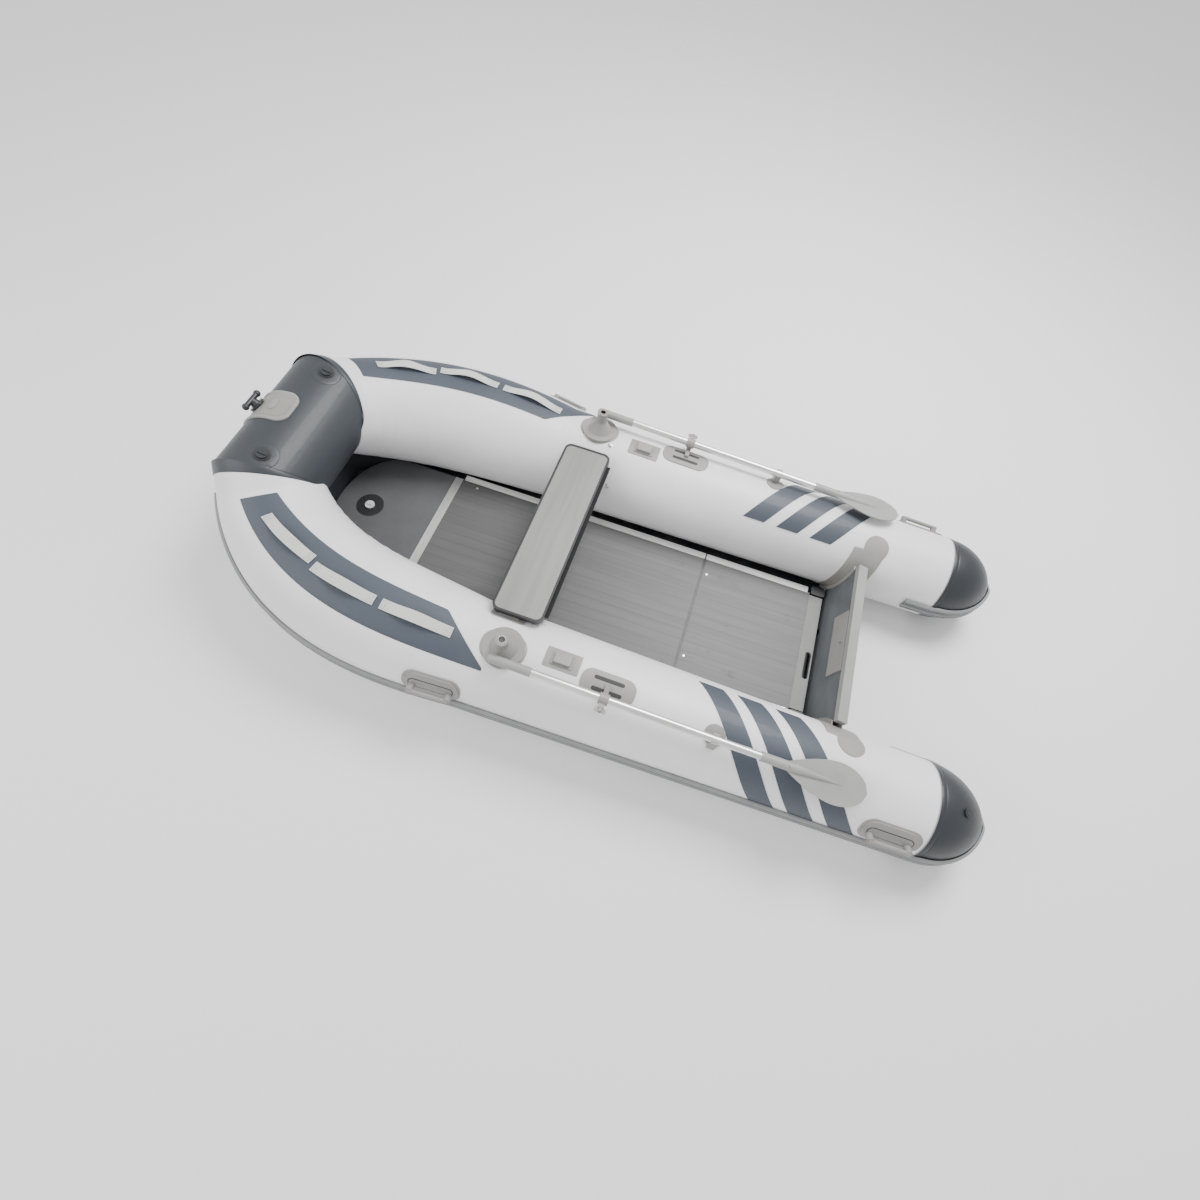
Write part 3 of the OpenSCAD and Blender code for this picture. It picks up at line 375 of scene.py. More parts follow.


# The default low colour is a grey that paints the shade of the white tubes' lower sides as well as dust; the
# dark fabrics pass a lighter dust colour.
def fabric(name, colour, rough, dust_and_shade_colour=(0.33, 0.31, 0.28), weave=0.5, mottled=0.06):
    g = Graph(name)
    broad = g.noise(2.3, 3, 0.5).clamp(0.35, 0.65)
    fine = g.noise(60, 5, 0.6)
    worn = g.noise(14, 8, 0.7, g.stretched(0.35, 1, 1)).clamp(0.56, 0.75)
    base = g.blend(broad, tint(colour, 1 - mottled), tint(colour, 1 + mottled * 0.5))
    base = g.blend(worn * 0.16, base, tint(colour, 0.8))
    # Low on the hull the colour goes to that low colour: on the white tube fabric this is painted shade of
    # the tubes' lower sides as well as dust, on the dark fabrics it is dust.
    base = g.blend(low_dust_and_shade(g) * 0.35, base, dust_and_shade_colour)
    threads = g.waves(320, "X") + g.waves(320, "Y") + g.waves(320, "Z")
    pulls = g.noise(7, 3, 0.5, g.stretched(0.35, 1, 1))
    pebble = g.noise(38, 4, 0.55)
    return g.done(
        base, fine * 0.14 + (rough - 0.07) + worn * 0.06,
        normal=g.bump((pulls, 0.004, 0.25), (pebble, 0.0009, 0.3), (threads, 0.0003, weave * 0.35)),
        coat=0.06,
    )


def moulded(name, colour, rough, grain=0.4):
    g = Graph(name)
    broad = g.noise(11, 3, 0.5).clamp(0.3, 0.7)
    scuffs = g.noise(46, 8, 0.72, g.stretched(0.4, 1.3, 1)).clamp(0.6, 0.74)
    base = g.blend(broad, tint(colour, 0.93), tint(colour, 1.04))
    base = g.blend(scuffs * 0.3, base, tint(colour, 1.25))
    pores = g.cells(900)
    return g.done(
        base, g.noise(70, 4) * 0.16 + (rough - 0.08) + scuffs * 0.12,
        normal=g.bump((g.noise(120, 4, 0.6), 0.0006, 0.3), (pores, 0.0003, grain)),
        coat=0.03,
    )


def brushed(name, colour, rough, axis="X", metal=0.85, bands=0.0, streak=0.2, cloudy=0.5):
    g = Graph(name)
    scale = {"X": (1.2, 170, 170), "Y": (170, 1.2, 170)}[axis]
    hair = g.noise(3, 5, 0.7, g.stretched(*scale))
    long_marks = g.noise(1.4, 3, 0.6, g.stretched(*(v ** 0.62 for v in scale))).clamp(0.35, 0.68)
    cloud = g.noise(3.2, 4, 0.55).clamp(0.35, 0.68)
    stain = g.noise(17, 7, 0.68).clamp(0.6, 0.78)
    base = g.blend(long_marks, tint(colour, 1 - streak), tint(colour, 1 + streak * 0.45))
    base = g.blend(cloud * cloudy, base, tint(colour, 1.1))
    base = g.blend(stain * 0.5 * cloudy, base, tint(colour, 0.62))
    height = [(hair, 0.0005, 0.3)]
    if bands:
        ribs = g.waves(bands, "Y" if axis == "X" else "X")
        base = g.blend(ribs.clamp(0.0, 0.05, 0.3, 0.0), base, tint(colour, 0.6))
        height.append((ribs.clamp(0.0, 0.08), 0.0006, 0.3))
    return g.done(base, hair * 0.2 + (rough - 0.1) + stain * 0.15, metal=metal, normal=g.bump(*height))


def webbing(name, colour, rough=0.85):
    g = Graph(name)
    twill = g.waves(210, "DIAGONAL")
    cross = g.waves(260, "Z")
    fuzz = g.noise(240, 4, 0.7)
    base = g.blend(twill * 0.4 + fuzz * 0.3, tint(colour, 0.78), tint(colour, 1.1))
    # Low on the hull the webbing is darkened: dust and painted shade of the lower sides.
    base = g.blend(low_dust_and_shade(g) * 0.3, base, tint(colour, 0.5))
    relief = g.bump((twill, 0.0006, 0.6), (cross, 0.0004, 0.4))
    return g.done(base, fuzz * 0.1 + (rough - 0.05), normal=relief)


def painted_wood(name, colour):
    g = Graph(name)
    grain = g.noise(5, 6, 0.6, g.stretched(20, 1.2, 1.2))
    brush = g.noise(3, 4, 0.6, g.stretched(9, 1, 60))
    chips = g.noise(55, 8, 0.75).clamp(0.68, 0.74)
    base = g.blend(grain.clamp(0.3, 0.7), tint(colour, 0.9), tint(colour, 1.08))
    base = g.blend(chips * 0.45, base, (0.24, 0.2, 0.15))
    relief = g.bump((brush, 0.0007, 0.3), (grain, 0.0009, 0.35))
    return g.done(base, brush * 0.14 + 0.33, normal=relief, coat=0.15)


MATERIALS = {}


def build_materials():
    white = (0.80, 0.79, 0.80)
    slate = (0.030, 0.036, 0.043)
    grey = (0.27, 0.265, 0.25)
    make = {
        "tube_fabric": lambda: fabric("tube_fabric", white, 0.42),
        "slate_fabric": lambda: fabric("slate_fabric", slate, 0.46, dust_and_shade_colour=(0.2, 0.19, 0.17), mottled=0.1),
        "panel_fabric": lambda: fabric(
            "panel_fabric", (0.050, 0.062, 0.082), 0.52, dust_and_shade_colour=(0.2, 0.19, 0.17), mottled=0.08),
        "dark_slate": lambda: fabric(
            "dark_slate", (0.016, 0.019, 0.024), 0.44, dust_and_shade_colour=(0.15, 0.14, 0.13), mottled=0.12),
        "patch_recess": lambda: moulded("patch_recess", (0.25, 0.243, 0.225), 0.5),
        "slot_shadow": lambda: moulded("slot_shadow", (0.03, 0.03, 0.031), 0.6),
        "slate_plastic": lambda: moulded("slate_plastic", (0.022, 0.025, 0.03), 0.38),
        "strake_rubber": lambda: moulded("strake_rubber", (0.25, 0.253, 0.257), 0.5),
        "strake_groove": lambda: moulded("strake_groove", (0.025, 0.025, 0.026), 0.6),
        "piping": lambda: moulded("piping", (0.29, 0.29, 0.285), 0.45),
        "strap_webbing": lambda: webbing("strap_webbing", (0.66, 0.66, 0.64)),
        "moulded_grey": lambda: moulded("moulded_grey", grey, 0.45),
        "oar_plastic": lambda: moulded("oar_plastic", (0.29, 0.293, 0.285), 0.42),
        "oar_metal": lambda: brushed("oar_metal", (0.78, 0.78, 0.77), 0.3, "X", 0.92),
        "seat_metal": lambda: brushed(
            "seat_metal", (0.25, 0.253, 0.245), 0.42, "Y", 0.45, streak=0.1, cloudy=0.2),
        "joiner_metal": lambda: brushed("joiner_metal", (0.60, 0.60, 0.59), 0.36, "Y", 0.8),
        "stringer_metal": lambda: brushed("stringer_metal", (0.72, 0.72, 0.71), 0.3, "X", 0.9),
        "floor_metal": lambda: brushed(
            "floor_metal", (0.098, 0.100, 0.098), 0.5, "X", 0.3, bands=6.9, streak=0.1, cloudy=0.2),
        "steel": lambda: brushed("steel", (0.66, 0.66, 0.65), 0.28, "X", 1.0),
        "black_plastic": lambda: moulded("black_plastic", (0.018, 0.018, 0.02), 0.42),
        "black_webbing": lambda: webbing("black_webbing", (0.012, 0.012, 0.013)),
        "bow_board_grey": lambda: moulded("bow_board_grey", (0.082, 0.086, 0.090), 0.6, grain=0.7),
        "transom_paint": lambda: painted_wood("transom_paint", (0.115, 0.125, 0.132)),
        "light_plastic": lambda: moulded("light_plastic", (0.62, 0.62, 0.61), 0.42),
        "end_strip": lambda: moulded("end_strip", (0.17, 0.17, 0.165), 0.55),
    }
    for name, build in make.items():
        MATERIALS[name] = build()


def mat(name):
    return MATERIALS[name]


CAD_LOOKS = {
    "joiner_metal": ["floor_joiners"],
    "stringer_metal": ["floor_stringers"],
    "seat_metal": ["seat_board"],
    "end_strip": ["floor_end_trim"],
    "dark_slate": ["stern_cap_port", "stern_cap_starboard", "hull_skin"],
    "panel_fabric": ["stern_stripes", "chafe_panel_port", "chafe_panel_starboard"],
    "slate_plastic": ["tow_cleat", "valve_bodies", "valve_cap_port", "valve_cap_starboard"],
    "piping": ["transom_cap"],
}


def dress_cad():
    special = {n: m for m, ns in CAD_LOOKS.items() for n in ns}
    for part in frame["record"]["subparts"]:
        node = NODES[part["node"]]
        look = mat(special.get(part["node"], part["material_slot"]))
        node.data.materials.clear()
        node.data.materials.append(look)


# ---- pieces ----
def add(obj, body="hull", replaces=()):
    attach(obj, body)
    if replaces:
        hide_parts(*replaces)
    return obj


def on_bow_tube(i, phi, off=0.0):
    """The bow tube's surface, drawn in to the mitre over its last step."""
    if i <= STEPS - 1:
        return on_tube(i, phi, off)
    a, b = on_tube(STEPS - 1, phi, off), on_mitre(on_tube(STEPS, phi, off))
    return a + (b - a) * (i - STEPS + 1)


def wrinkle(i, phi):
    """Small gathers where the bow tube's inner side is pressed together."""
    inner = math.exp(-((phi + 88) / 42) ** 2) * smooth((i - 5) / 7) * smooth((23.5 - i) / 3)
    p = Vector((i * 1.15, phi * 0.018, 3.1))
    fold = noise.noise(p) * 1.6 + noise.noise(p * 2.3) * 0.8
    return inner * fold * 1.6 - 0.5 * math.exp(-(((i - 23.6) / 0.5) ** 2))


def build_tubes(look):
    for side, word in ((-1, "port"), (1, "starboard")):
        def curved(u, w):
            i, phi = STEPS * u, 360 * w
            fold = wrinkle(i, phi if phi < 180 else phi - 360)
            return on_bow_tube(i, phi, fold * look.wrinkles * smooth(i / 3))

        tube = sheet_map(f"bow_tube_skin_{word}", mat("tube_fabric"), 144, 128, curved, side, wrap_v=True)
        add(tube, replaces=[f"bow_tube_{word}"])

        def straight(u, w):
            x = JOINT_X + (CAP_X - JOINT_X) * u
            i = station(x)
            swell = -0.9 * math.exp(-(((x - CAP_X) / 9) ** 2)) - 0.7 * math.exp(-(((x - JOINT_X) / 12) ** 2))
            ripple = noise.noise(Vector((x * 0.006, 1.5 * cos(360 * w), 1.5 * sin(360 * w) + 4 * side))) * 0.5
            return on_tube(i, 360 * w, swell + ripple * look.wrinkles * smooth(u * 8) * smooth((1 - u) * 8))

        tube = sheet_map(f"tube_skin_{word}", mat("tube_fabric"), 160, 128, straight, side, wrap_v=True)
        add(tube, replaces=[f"tube_{word}"])

        def capped(u, w):
            a = 90 * u
            s, r = cap_at(a)
            return Vector((CAP_X + s, -TUBE_Y - r * sin(360 * w), STERN_R + r * cos(360 * w)))

        cap = sheet_map(f"stern_cap_skin_{word}", mat("dark_slate"), 48, 128, capped, side, wrap_v=True)
        add(cap, replaces=[f"stern_cap_{word}"])

    def bow(u, w):
        a = 360 * w
        p = Vector((BOW_X - BOW_R * sin(a), 0, BOW_Z + BOW_R * cos(a)))
        to_centre = p - centre(STEPS)
        y = -(to_centre.x * MITRE.x + to_centre.z * MITRE.z) / MITRE.y + centre(STEPS).y
        return Vector((p.x, y * (1 - 2 * u), p.z))

    section = sheet_map("bow_section_skin", mat("slate_fabric"), 64, 160, bow, -1, wrap_v=True)
    add(section, replaces=["bow_section"])


def cap_at(a):
    if a <= math.degrees(CAP_TIP_ANGLE):
        return CAP_ARC_R * sin(a), STERN_R - CAP_ARC_R + CAP_ARC_R * cos(a)
    return CAP_TIP_L + CAP_TIP_R * sin(a), CAP_TIP_R * cos(a)


STRAKE_LINE = [
    (-31, -0.9), (-31, 4), (-30, 6.2), (-27.5, 9), (-24, 10.8), (-17, 11.2), (-9.5, 10.8), (-7, 9),
    (-5.2, 5.6),
    (-2.6, 4.6), (2.6, 4.6), (5.2, 5.6), (7, 9), (9.5, 10.8), (17, 11.2), (24, 10.8), (27.5, 9), (30, 6.2),
    (31, 4), (31, -0.9), (10, -0.5), (-10, -0.5),
]


def strake_path():
    """Points round one side: (place on the surface, up, out)."""
    path = []
    first = STEPS - 0.6
    for k in range(91):
        i = first * (1 - k / 90)
        _, out, up = axes(i)
        n = sin(STRAKE_PHI) * out + cos(STRAKE_PHI) * up
        path.append((centre(i) + tube_r(i) * n, -cos(STRAKE_PHI) * out + sin(STRAKE_PHI) * up, n))
    for k in range(1, 41):
        x = JOINT_X + (CAP_X - 8 - JOINT_X) * k / 40
        i = station(x)
        n = Vector((0, -sin(STRAKE_PHI), cos(STRAKE_PHI)))
        path.append((centre(i) + tube_r(i) * n, Vector((0, cos(STRAKE_PHI), sin(STRAKE_PHI))), n))
    for k in range(1, 60):
        a = 180 * k / 60
        b, s = (a, 1) if a <= 90 else (180 - a, -1)
        x, r = cap_at(b)
        place_on_cap = Vector((CAP_X + x, -TUBE_Y - s * r, STERN_R))
        path.append((place_on_cap, Vector((0, 0, 1)), Vector((sin(b), -s * cos(b), 0))))
    for x in (CAP_X - 8, 2820, 2780, 2740):
        i = station(x)
        n = Vector((0, sin(STRAKE_PHI), cos(STRAKE_PHI)))
        path.append((centre(i) + tube_r(i) * n, Vector((0, -cos(STRAKE_PHI), sin(STRAKE_PHI))), n))
    return path


def build_strakes():
    path = strake_path()

    def swept(profile):
        m = len(profile)

        def at(u, w):
            p, up, out = path[round(u * (len(path) - 1))]
            q = profile[round(w * m) % m]
            return p + q[0] * up + (q[1] + 1.0) * out

        return at

    for side, word in ((-1, "port"), (1, "starboard")):
        strake = sheet_map(
            f"strake_skin_{word}", mat("strake_rubber"), len(path), len(STRAKE_LINE) + 1, swept(STRAKE_LINE),
            side, wrap_v=True, sharp=42)
        add(strake, replaces=[f"strake_{word}"])
        for k, (middle, half, h) in enumerate(((0, 3.6, 4.7), (17, 2.0, 11.2), (-17, 2.0, 11.2))):
            low, high = h - 1.5, h + 0.35
            band = [(middle - half, low), (middle - half, high), (middle + half, high), (middle + half, low)]
            line = sheet_map(
                f"strake_line_{word}_{k}", mat("strake_groove"), len(path), 5, swept(band), side,
                wrap_v=True, sharp=42)
            add(line)


PANEL_FIRST, PANEL_LAST, PANEL_CORNER = -2.0, 22.5, 2.0


def panel_edges(i):
    outer = 35 - 13 * (max(i, 0) / PANEL_LAST) ** 2
    if i < PANEL_CORNER:
        tip = 35 - 3
        inner = -10 + (PANEL_CORNER - i) * (tip + 10) / (PANEL_CORNER - PANEL_FIRST)
    else:
        inner = -10 - 6 * (i / PANEL_LAST) ** 2
    return inner, outer


STRAPS = ((1.3, 6.5, 10), (7.7, 13, 10), (14.1, 19.8, 6))


def build_panels(look):
    rows = 18
    for side, word in ((-1, "port"), (1, "starboard")):
        def panel(u, w):
            i = PANEL_FIRST + (PANEL_LAST - PANEL_FIRST) * u
            a, b = panel_edges(i)
            k = w * (2 * rows + 2)
            if k <= rows:
                phi, h = a + (b - a) * k / rows, 2.0
            elif k <= rows + 1:
                phi, h = b, 0.6
            elif k <= 2 * rows + 1:
                phi, h = b + (a - b) * (k - rows - 1) / rows, 0.6
            else:
                phi, h = a, 2.0
            return on_tube(i, phi, h)

        piece = sheet_map(
            f"chafe_panel_skin_{word}", mat("panel_fabric"), 120, 2 * rows + 3, panel, side,
            wrap_v=True, sharp=40)
        add(piece, replaces=[f"chafe_panel_{word}"])
        for k, (a, b, phi) in enumerate(STRAPS):
            def strap(u, w):
                v = (u * 1.12 - 0.06)
                i = a + (b - a) * v
                half = STRAP_HALF_W / tube_r(i) * 180 / math.pi
                lift = 3.6 + look.strap_rise * sin(180 * min(max(v, 0), 1)) ** 2
                twist = noise.noise(Vector((u * 3.2, k * 2.0, side * 1.0))) * 2.4 * sin(180 * u)
                q = flat_ring(0, 2, 2.2)[round(w * 10) % 10]
                return on_tube(i, phi + q[0] * half, lift + q[1] + twist * q[0])

            piece = sheet_map(
                f"strap_{word}_{k}", mat("strap_webbing"), 50, 11, strap, side, wrap_v=True, sharp=50)
            add(piece, replaces=["grab_straps"])
            stitches(word, k, side, a, b, phi)


STITCH_ROUTE = (
    (-0.2, -0.7), (0.35, -0.7), (0.35, 0.7), (-0.2, 0.7),
    (-0.2, -0.7), (0.35, 0.7), (0.35, -0.7), (-0.2, 0.7),
)


def flat_ring(low, edge, middle):
    """Cross-section of a flat band: (place across it from -1 to 1, height)."""
    across = (-1, -0.5, 0, 0.5, 1)
    return [(q, low) for q in across] + [(q, edge if abs(q) == 1 else middle) for q in reversed(across)]


def stitches(word, k, side, a, b, phi):
    """The sewn boxes that hold each end of a strap."""
    bm = bmesh.new()
    for end, way in ((a, 1), (b, -1)):
        box = []
        for du, dp in STITCH_ROUTE:
            i = end + way * du
            box.append((i, phi + dp * STRAP_HALF_W / tube_r(i) * 180 / math.pi))
        for (i0, p0), (i1, p1) in zip(box, box[1:]):
            for t in range(4):
                t0, t1 = (t + 0.15) / 4, (t + 0.85) / 4
                q0 = on_tube(i0 + (i1 - i0) * t0, p0 + (p1 - p0) * t0, 6.6)
                q1 = on_tube(i0 + (i1 - i0) * t1, p0 + (p1 - p0) * t1, 6.6)
                bar(bm, q0, q1, 0.7, 6)
    to_frame(bm, side)
    add(finish_mesh(bm, f"strap_stitches_{word}_{k}", mat("light_plastic")))


def build_seams():
    """Glued seam tapes round the tubes and the piping of the stern caps."""
    def ring_tape(name, look_name, side, x0, x1, t, fn):
        def tape(u, w):
            profile = [(0, 0), (0.08, 1), (0.5, 1.1), (0.92, 1), (1, 0), (0.5, -0.2)]
            s, h = profile[round(u * 6) % 6]
            return fn(x0 + (x1 - x0) * s, 360 * w, h * t)

        piece = sheet_map(name, mat(look_name), 7, 129, tape, side, wrap_u=True, wrap_v=True, sharp=60)
        add(piece)

    def at_x(x, phi, h):
        return on_tube(station(x), phi, h)

    for side, word in ((-1, "port"), (1, "starboard")):
        ring_tape(f"cap_seam_{word}", "dark_slate", side, CAP_X - 16, CAP_X + 2, 1.0, at_x)
        ring_tape(f"cap_piping_{word}", "piping", side, CAP_X - 20, CAP_X - 16, 1.6, at_x)
        ring_tape(
            f"joint_seam_{word}", "tube_fabric", side, JOINT_X - 15, JOINT_X + 15, 0.5, at_x)

        def at_mitre(d, phi, h):
            return on_bow_tube(STEPS - d / STEP_L, phi, h + 0.3)

        ring_tape(f"bow_seam_{word}", "slate_fabric", side, -3, 15, 0.9, at_mitre)


# ---- pads: shaped patches laid on a surface given by surface(x, y, height) ----
CORNER_STEPS, SIDE_STEPS, PAD_SHARP = 8, 8, 50


def on_hull(i, phi):
    """Surface of the tube round one place: x aft along the tube, y round it, height out of it."""
    m = frame_on_tube(i, phi)
    r = tube_r(i)

    def surface(x, y, h):
        a = y / r
        return m @ Vector((x, (r + h) * math.sin(a), (r + h) * math.cos(a) - r))

    return surface


def on_bow(a, y0=0.0):
    """Surface of the bow section round one place, a degrees forward of its top: x aft over it, y across."""
    def surface(x, y, h):
        t = a - math.degrees(x / BOW_R)
        return Vector((BOW_X - (BOW_R + h) * sin(t), y0 + y, BOW_Z + (BOW_R + h) * cos(t)))

    return surface


def pad(name, material, surface, size, profile, side=-1):
    """size is (length, width, corner radius); profile lists (inset, height) from the edge inwards."""
    l, w, r = size
    bm = bmesh.new()
    rings = []
    inset, top = profile[-1]
    plan = [(d, h, 1.0) for d, h in profile] + [(inset, top, 1 - k / 6) for k in range(1, 6)]
    for d, h, scale in plan:
        outline = dense(rounded_outline(l - 2 * d, w - 2 * d, max(r - d, 1.5), CORNER_STEPS))
        rings.append([bm.verts.new(surface(x * scale, y * scale, h)) for x, y in outline])
    n = len(rings[0])
    loops = [[bm.edges.new((ring[j], ring[(j + 1) % n])) for j in range(n)] for ring in rings]
    for a, b in zip(loops, loops[1:]):
        bmesh.ops.bridge_loops(bm, edges=a + b)
    bmesh.ops.holes_fill(bm, edges=loops[-1], sides=0)
    bmesh.ops.holes_fill(bm, edges=loops[0], sides=0)
    to_frame(bm, side)
    obj = finish_mesh(bm, name, material)
    mark_sharp(obj, PAD_SHARP)
    return obj


def dense(outline):
    """Splits the straight sides of an outline so that it can bend with the surface."""
    out = []
    n = len(outline)
    for k in range(n):
        a, b = outline[k], outline[(k + 1) % n]
        parts = SIDE_STEPS if k % (CORNER_STEPS + 1) == CORNER_STEPS else 1
        out += [(a[0] + (b[0] - a[0]) * t / parts, a[1] + (b[1] - a[1]) * t / parts) for t in range(parts)]
    return out


def over_seam(a, y0):
    """Like on_bow, but past the mitre it follows the bow tube."""
    flat = on_bow(a, y0)

    def surface(x, y, h):
        p = flat(x, y, h)
        past = (p - centre(STEPS)).dot(MITRE)
        if past > 0:
            return p
        i = STEPS + (p - centre(STEPS)).dot(BOW_AHEAD) / STEP_L
        _, out, up = axes(i)
        q = p - centre(i)
        lift = smooth(-past / 12)
        return on_tube(i, math.degrees(math.atan2(q.dot(out), q.dot(up))), h + lift)

    return surface


def build_bow_fittings():
    """The patch on the bow with its recess and bars, and the lobes and rings round the valves."""
    rim = [(0, 0.2), (0.2, 3.4), (2, 6.0), (5, 6.9), (11, 6.9), (14, 6.0), (16, 3.4), (17.5, 2.9)]
    patch = pad("bow_patch_skin", mat("moulded_grey"), on_bow(BOW_PATCH_PHI), (268, 146, 46), rim)
    add(patch, replaces=["bow_patch"])
    inner = pad("bow_patch_recess", mat("patch_recess"), on_bow(BOW_PATCH_PHI), (228, 106, 30),
                [(0, 1.5), (0.4, 3.5), (2, 3.7)])
    add(inner)
    for k, x in enumerate((-52, 52)):
        pin = pad(f"bow_patch_pin_{k}", mat("moulded_grey"), on_bow(BOW_PATCH_PHI + x / 3.2), (30, 52, 14),
                  [(0, 2.0), (0.6, 6.0), (3, 7.4)])
        add(pin)
    for side, word in ((-1, "port"), (1, "starboard")):
        lobe = pad(f"valve_lobe_{word}", mat("slate_fabric"), over_seam(VALVE_PHI, -VALVE_Y), (112, 112, 54),
                   [(0, 0.1), (0.3, 0.8), (1.4, 1.3)], side)
        add(lobe)
        ring = pad(f"valve_ring_{word}", mat("slot_shadow"), over_seam(VALVE_PHI, -VALVE_Y), (68, 68, 33),
                   [(0, 0.6), (0.5, 1.7), (1.5, 1.9)], side)
        add(ring)


def build_patches():
    """Edges, slots and recesses of the moulded patches on the side tubes."""
    for side, word in ((-1, "port"), (1, "starboard")):
        def put(name, material, i, phi, size, profile):
            add(pad(f"{name}_{word}", mat(material), on_hull(i, phi), size, profile, side))

        for where, x, phi, lift in (FORE_HANDLE, AFT_HANDLE):
            i = station(x)
            put(f"handle_flange_{where}", "moulded_grey", i, phi,
                (HANDLE_L + 16, HANDLE_W + 14, 44), [(0, 0.3), (0.4, 1.6 + lift), (2, 2.2 + lift)])
            put(f"handle_slot_{where}", "slot_shadow", i, phi, (HANDLE_L - 34, 42, 20),
                [(0, 4.0 + lift), (0.2, 6.5 + lift), (1, 6.8 + lift)])
            put(f"handle_bed_{where}", "moulded_grey", i, phi, (HANDLE_L - 42, 34, 16),
                [(0, 5.0 + lift), (0.2, 6.9 + lift), (2, 7.2 + lift)])
        put("lashing_inner", "patch_recess", station(LASH_X), LASH_PHI, (84, 52, 6),
            [(0, 3.5), (0.4, 5.7), (1.5, 5.9)])
        surface = on_hull(station(ROWLOCK_X), ROWLOCK_PHI)
        for k, aside in enumerate((-20, 20)):
            def beside(x, y, h, surface=surface, aside=aside):
                return surface(x, y + aside, h)

            slot = pad(f"rowlock_slot_{word}_{k}", mat("slot_shadow"), beside, (112, 15, 7),
                       [(0, 3.4), (0.3, 4.7), (1, 4.9)], side)
            add(slot)
        if side > 0:
            for where, (x, phi) in (("upper", UPPER_STUD), ("lower", LOWER_STUD)):
                put(f"seat_stud_{where}", "steel", station(x), phi, (20, 20, 9.9), STUD)
        put("socket_flange", "moulded_grey", station(SOCKET_X), SOCKET_PHI, (168, 124, 58),
            [(0, 0.3), (0.4, 1.8), (2.5, 2.6)])


def build_stripes():
    """The slanting dark bands round the sterns, smooth along their length."""
    for side, word in ((-1, "port"), (1, "starboard")):
        for k, top in enumerate(STRIPE_TOPS):
            def band(u, w, top=top):
                phi = STRIPE_FROM + (STRIPE_TO - STRIPE_FROM) * u
                s, h = flat_ring(0.5, 1.9, 2.2)[round(w * 10) % 10]
                return on_tube(station(top + STRIPE_SLANT * phi + s * STRIPE_HALF_W), phi, h)

            piece = sheet_map(
                f"stern_stripe_{word}_{k}", mat("panel_fabric"), 60, 11, band, side, wrap_v=True, sharp=50)
            add(piece, replaces=["stern_stripes"])


# Studio: places in metres, camera angles in radians, light sizes in metres
FLOOR_HALF_L, FLOOR_DROP, AIR_STRENGTH = 30, 0.0005, 1.05
LIGHT_AIM = (0, 0, 0.2)
KEY_AT, KEY_SIZE = (1.2, 2.2, 4.6), 2.6
FILL_AT, FILL_SIZE, FILL_SHARE = (-4.0, -2.5, 3.2), 4.0, 0.35
CAMERA_AT, CAMERA_LENS = (0.120, -1.305, 2.421), 18.6
CAMERA_AZ, CAMERA_EL, CAMERA_ROLL = 0.136, 1.082, 0.204


class DinghySettings(bpy.types.PropertyGroup):
    """Sizes and light that a user would change"""

    wrinkles: bpy.props.FloatProperty(
        name="Wrinkles", description="Depth of the gathers in the fabric", default=1.0, min=0, max=2)
    strap_rise: bpy.props.FloatProperty(
        name="Strap rise", description="Height of the grab straps' arches in mm", default=16.0, min=4, max=20)
    key_power: bpy.props.FloatProperty(
        name="Key light", description="Power of the key light", default=320.0, min=0, unit="POWER")


def build_stage(look):
    bm = bmesh.new()
    bmesh.ops.create_grid(bm, x_segments=2, y_segments=2, size=FLOOR_HALF_L)
    for v in bm.verts:
        v.co.z = -FLOOR_DROP
    g = Graph("studio_floor")
    shade = g.blend(g.noise(0.4, 2), (0.86, 0.86, 0.865), (0.88, 0.88, 0.88))
    floor = finish_mesh(bm, "studio_floor", g.done(shade, 0.9))
    world = bpy.data.worlds.new("studio_air")
    world.use_nodes = True
    back = world.node_tree.nodes["Background"]
    back.inputs["Color"].default_value = (1.0, 1.0, 1.0, 1.0)
    back.inputs["Strength"].default_value = AIR_STRENGTH
    bpy.context.scene.world = world

    def area(name, where, size, power):
        light = bpy.data.lights.new(name, "AREA")
        light.shape = "DISK"
        light.size, light.energy = size, power
        obj = bpy.data.objects.new(name, light)
        bpy.context.scene.collection.objects.link(obj)
        obj.location = where
        obj.rotation_euler = (Vector(LIGHT_AIM) - Vector(where)).to_track_quat("-Z", "Y").to_euler()

    area("key", KEY_AT, KEY_SIZE, look.key_power)
    area("fill", FILL_AT, FILL_SIZE, look.key_power * FILL_SHARE)

    cam = bpy.data.cameras.new("camera")
    cam.sensor_width = 36
    cam.lens = CAMERA_LENS
    cam.clip_end = 100
    obj = bpy.data.objects.new("camera", cam)
    bpy.context.scene.collection.objects.link(obj)
    az, el, roll = CAMERA_AZ, CAMERA_EL, CAMERA_ROLL
    back_way = Vector((math.sin(az) * math.cos(el), -math.cos(az) * math.cos(el), math.sin(el)))
    right = (-back_way).cross(Vector((0, 0, 1))).normalized()
    up = right.cross(-back_way)
    right, up = (
        math.cos(roll) * right + math.sin(roll) * up,
        -math.sin(roll) * right + math.cos(roll) * up,
    )
    turn = Matrix((right, up, back_way)).transposed().to_4x4()
    obj.matrix_world = Matrix.Translation(CAMERA_AT) @ turn
    bpy.context.scene.camera = obj


class DINGHY_OT_materials(bpy.types.Operator):
    """Makes every material and dresses the CAD nodes"""

    bl_idname = "dinghy.materials"
    bl_label = "Materials"

    def execute(self, context):
        build_materials()
        dress_cad()
        return {"FINISHED"}


class DINGHY_OT_tubes(bpy.types.Operator):
    """Builds the smooth tubes, stern caps and bow section"""

    bl_idname = "dinghy.tubes"
    bl_label = "Tubes"

    def execute(self, context):
        build_tubes(context.scene.dinghy)
        return {"FINISHED"}


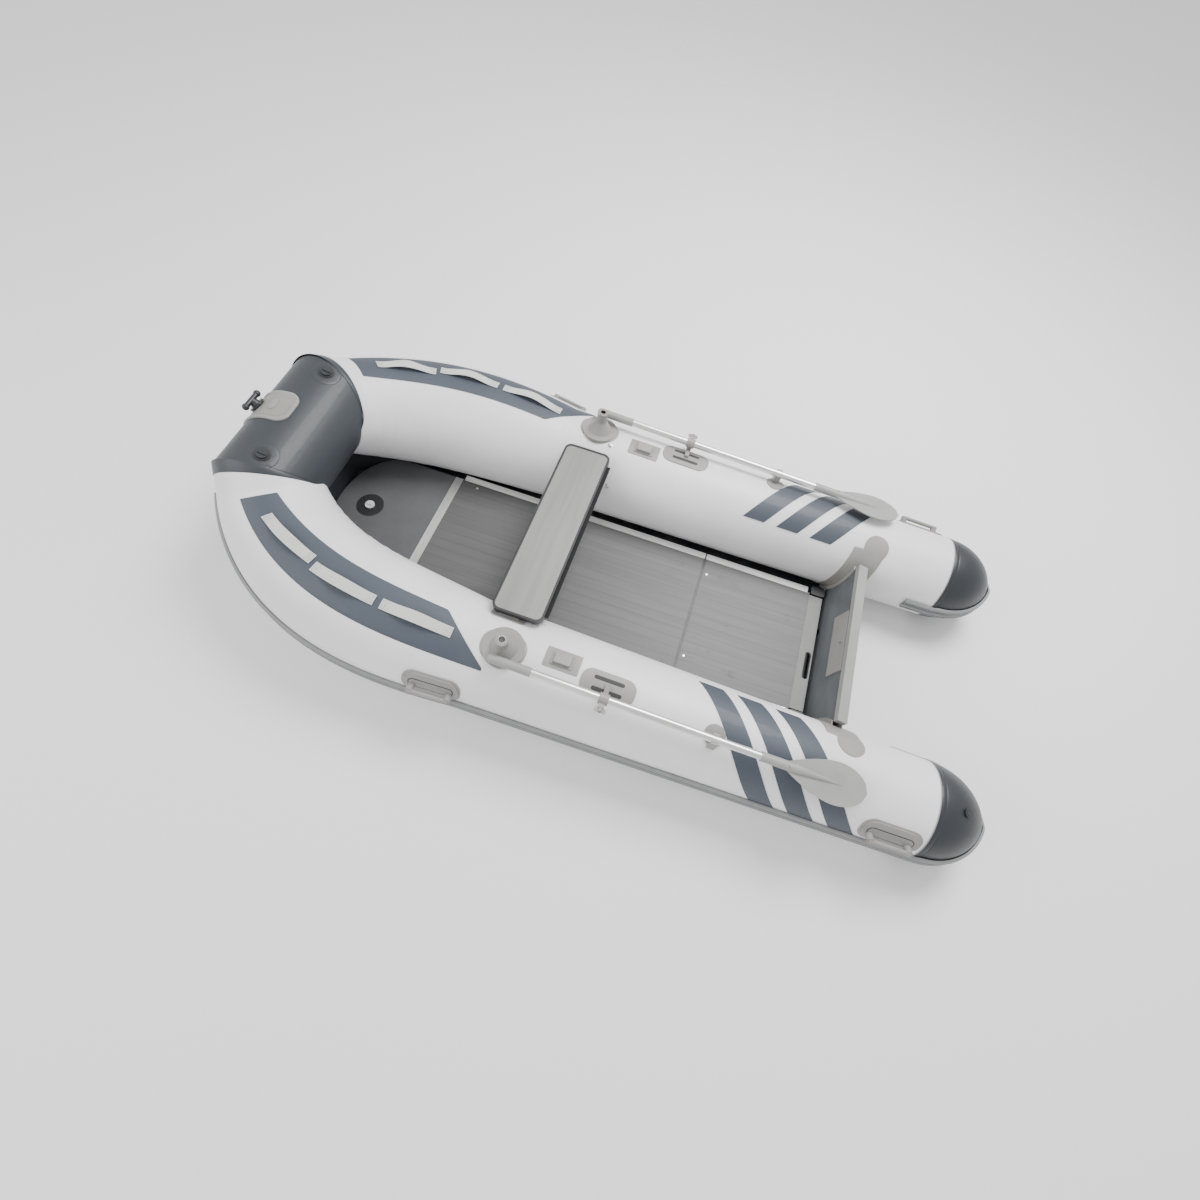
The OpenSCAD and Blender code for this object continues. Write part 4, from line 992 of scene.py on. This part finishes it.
class DINGHY_OT_strakes(bpy.types.Operator):
    """Builds the rubbing strakes"""

    bl_idname = "dinghy.strakes"
    bl_label = "Strakes"

    def execute(self, context):
        build_strakes()
        return {"FINISHED"}


class DINGHY_OT_panels(bpy.types.Operator):
    """Builds the chafe panels with their grab straps"""

    bl_idname = "dinghy.panels"
    bl_label = "Panels and straps"

    def execute(self, context):
        build_panels(context.scene.dinghy)
        return {"FINISHED"}


class DINGHY_OT_seams(bpy.types.Operator):
    """Builds the seam tapes and piping"""

    bl_idname = "dinghy.seams"
    bl_label = "Seams"

    def execute(self, context):
        build_seams()
        return {"FINISHED"}


class DINGHY_OT_stripes(bpy.types.Operator):
    """Builds the slanting bands round the sterns"""

    bl_idname = "dinghy.stripes"
    bl_label = "Stripes"

    def execute(self, context):
        build_stripes()
        return {"FINISHED"}


class DINGHY_OT_bow_fittings(bpy.types.Operator):
    """Builds the bow patch and the valve lobes"""

    bl_idname = "dinghy.bow_fittings"
    bl_label = "Bow patch"

    def execute(self, context):
        build_bow_fittings()
        return {"FINISHED"}


class DINGHY_OT_patches(bpy.types.Operator):
    """Builds the flanges and slots of the moulded patches"""

    bl_idname = "dinghy.patches"
    bl_label = "Patches"

    def execute(self, context):
        build_patches()
        return {"FINISHED"}


class DINGHY_OT_stage(bpy.types.Operator):
    """Builds the floor, lights and camera"""

    bl_idname = "dinghy.stage"
    bl_label = "Studio"

    def execute(self, context):
        build_stage(context.scene.dinghy)
        return {"FINISHED"}


OPERATORS = [
    DINGHY_OT_materials, DINGHY_OT_tubes, DINGHY_OT_strakes, DINGHY_OT_panels, DINGHY_OT_seams,
    DINGHY_OT_stripes, DINGHY_OT_bow_fittings, DINGHY_OT_patches, DINGHY_OT_stage,
]


class DINGHY_PT_panel(bpy.types.Panel):
    """Settings and build steps of the dinghy"""

    bl_label = "Dinghy"
    bl_idname = "DINGHY_PT_panel"
    bl_space_type = "VIEW_3D"
    bl_region_type = "UI"
    bl_category = "Dinghy"

    def draw(self, context):
        for name in ("wrinkles", "strap_rise", "key_power"):
            self.layout.prop(context.scene.dinghy, name)
        for piece in OPERATORS:
            self.layout.operator(piece.bl_idname)


CLASSES = [DinghySettings, *OPERATORS, DINGHY_PT_panel]


def register():
    for c in CLASSES:
        bpy.utils.register_class(c)
    bpy.types.Scene.dinghy = bpy.props.PointerProperty(type=DinghySettings)


def unregister():
    del bpy.types.Scene.dinghy
    for c in reversed(CLASSES):
        bpy.utils.unregister_class(c)


def main():
    register()
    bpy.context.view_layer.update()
    for piece in OPERATORS:
        getattr(bpy.ops.dinghy, piece.bl_idname.split(".")[1])()


if __name__ == "__main__":
    main()
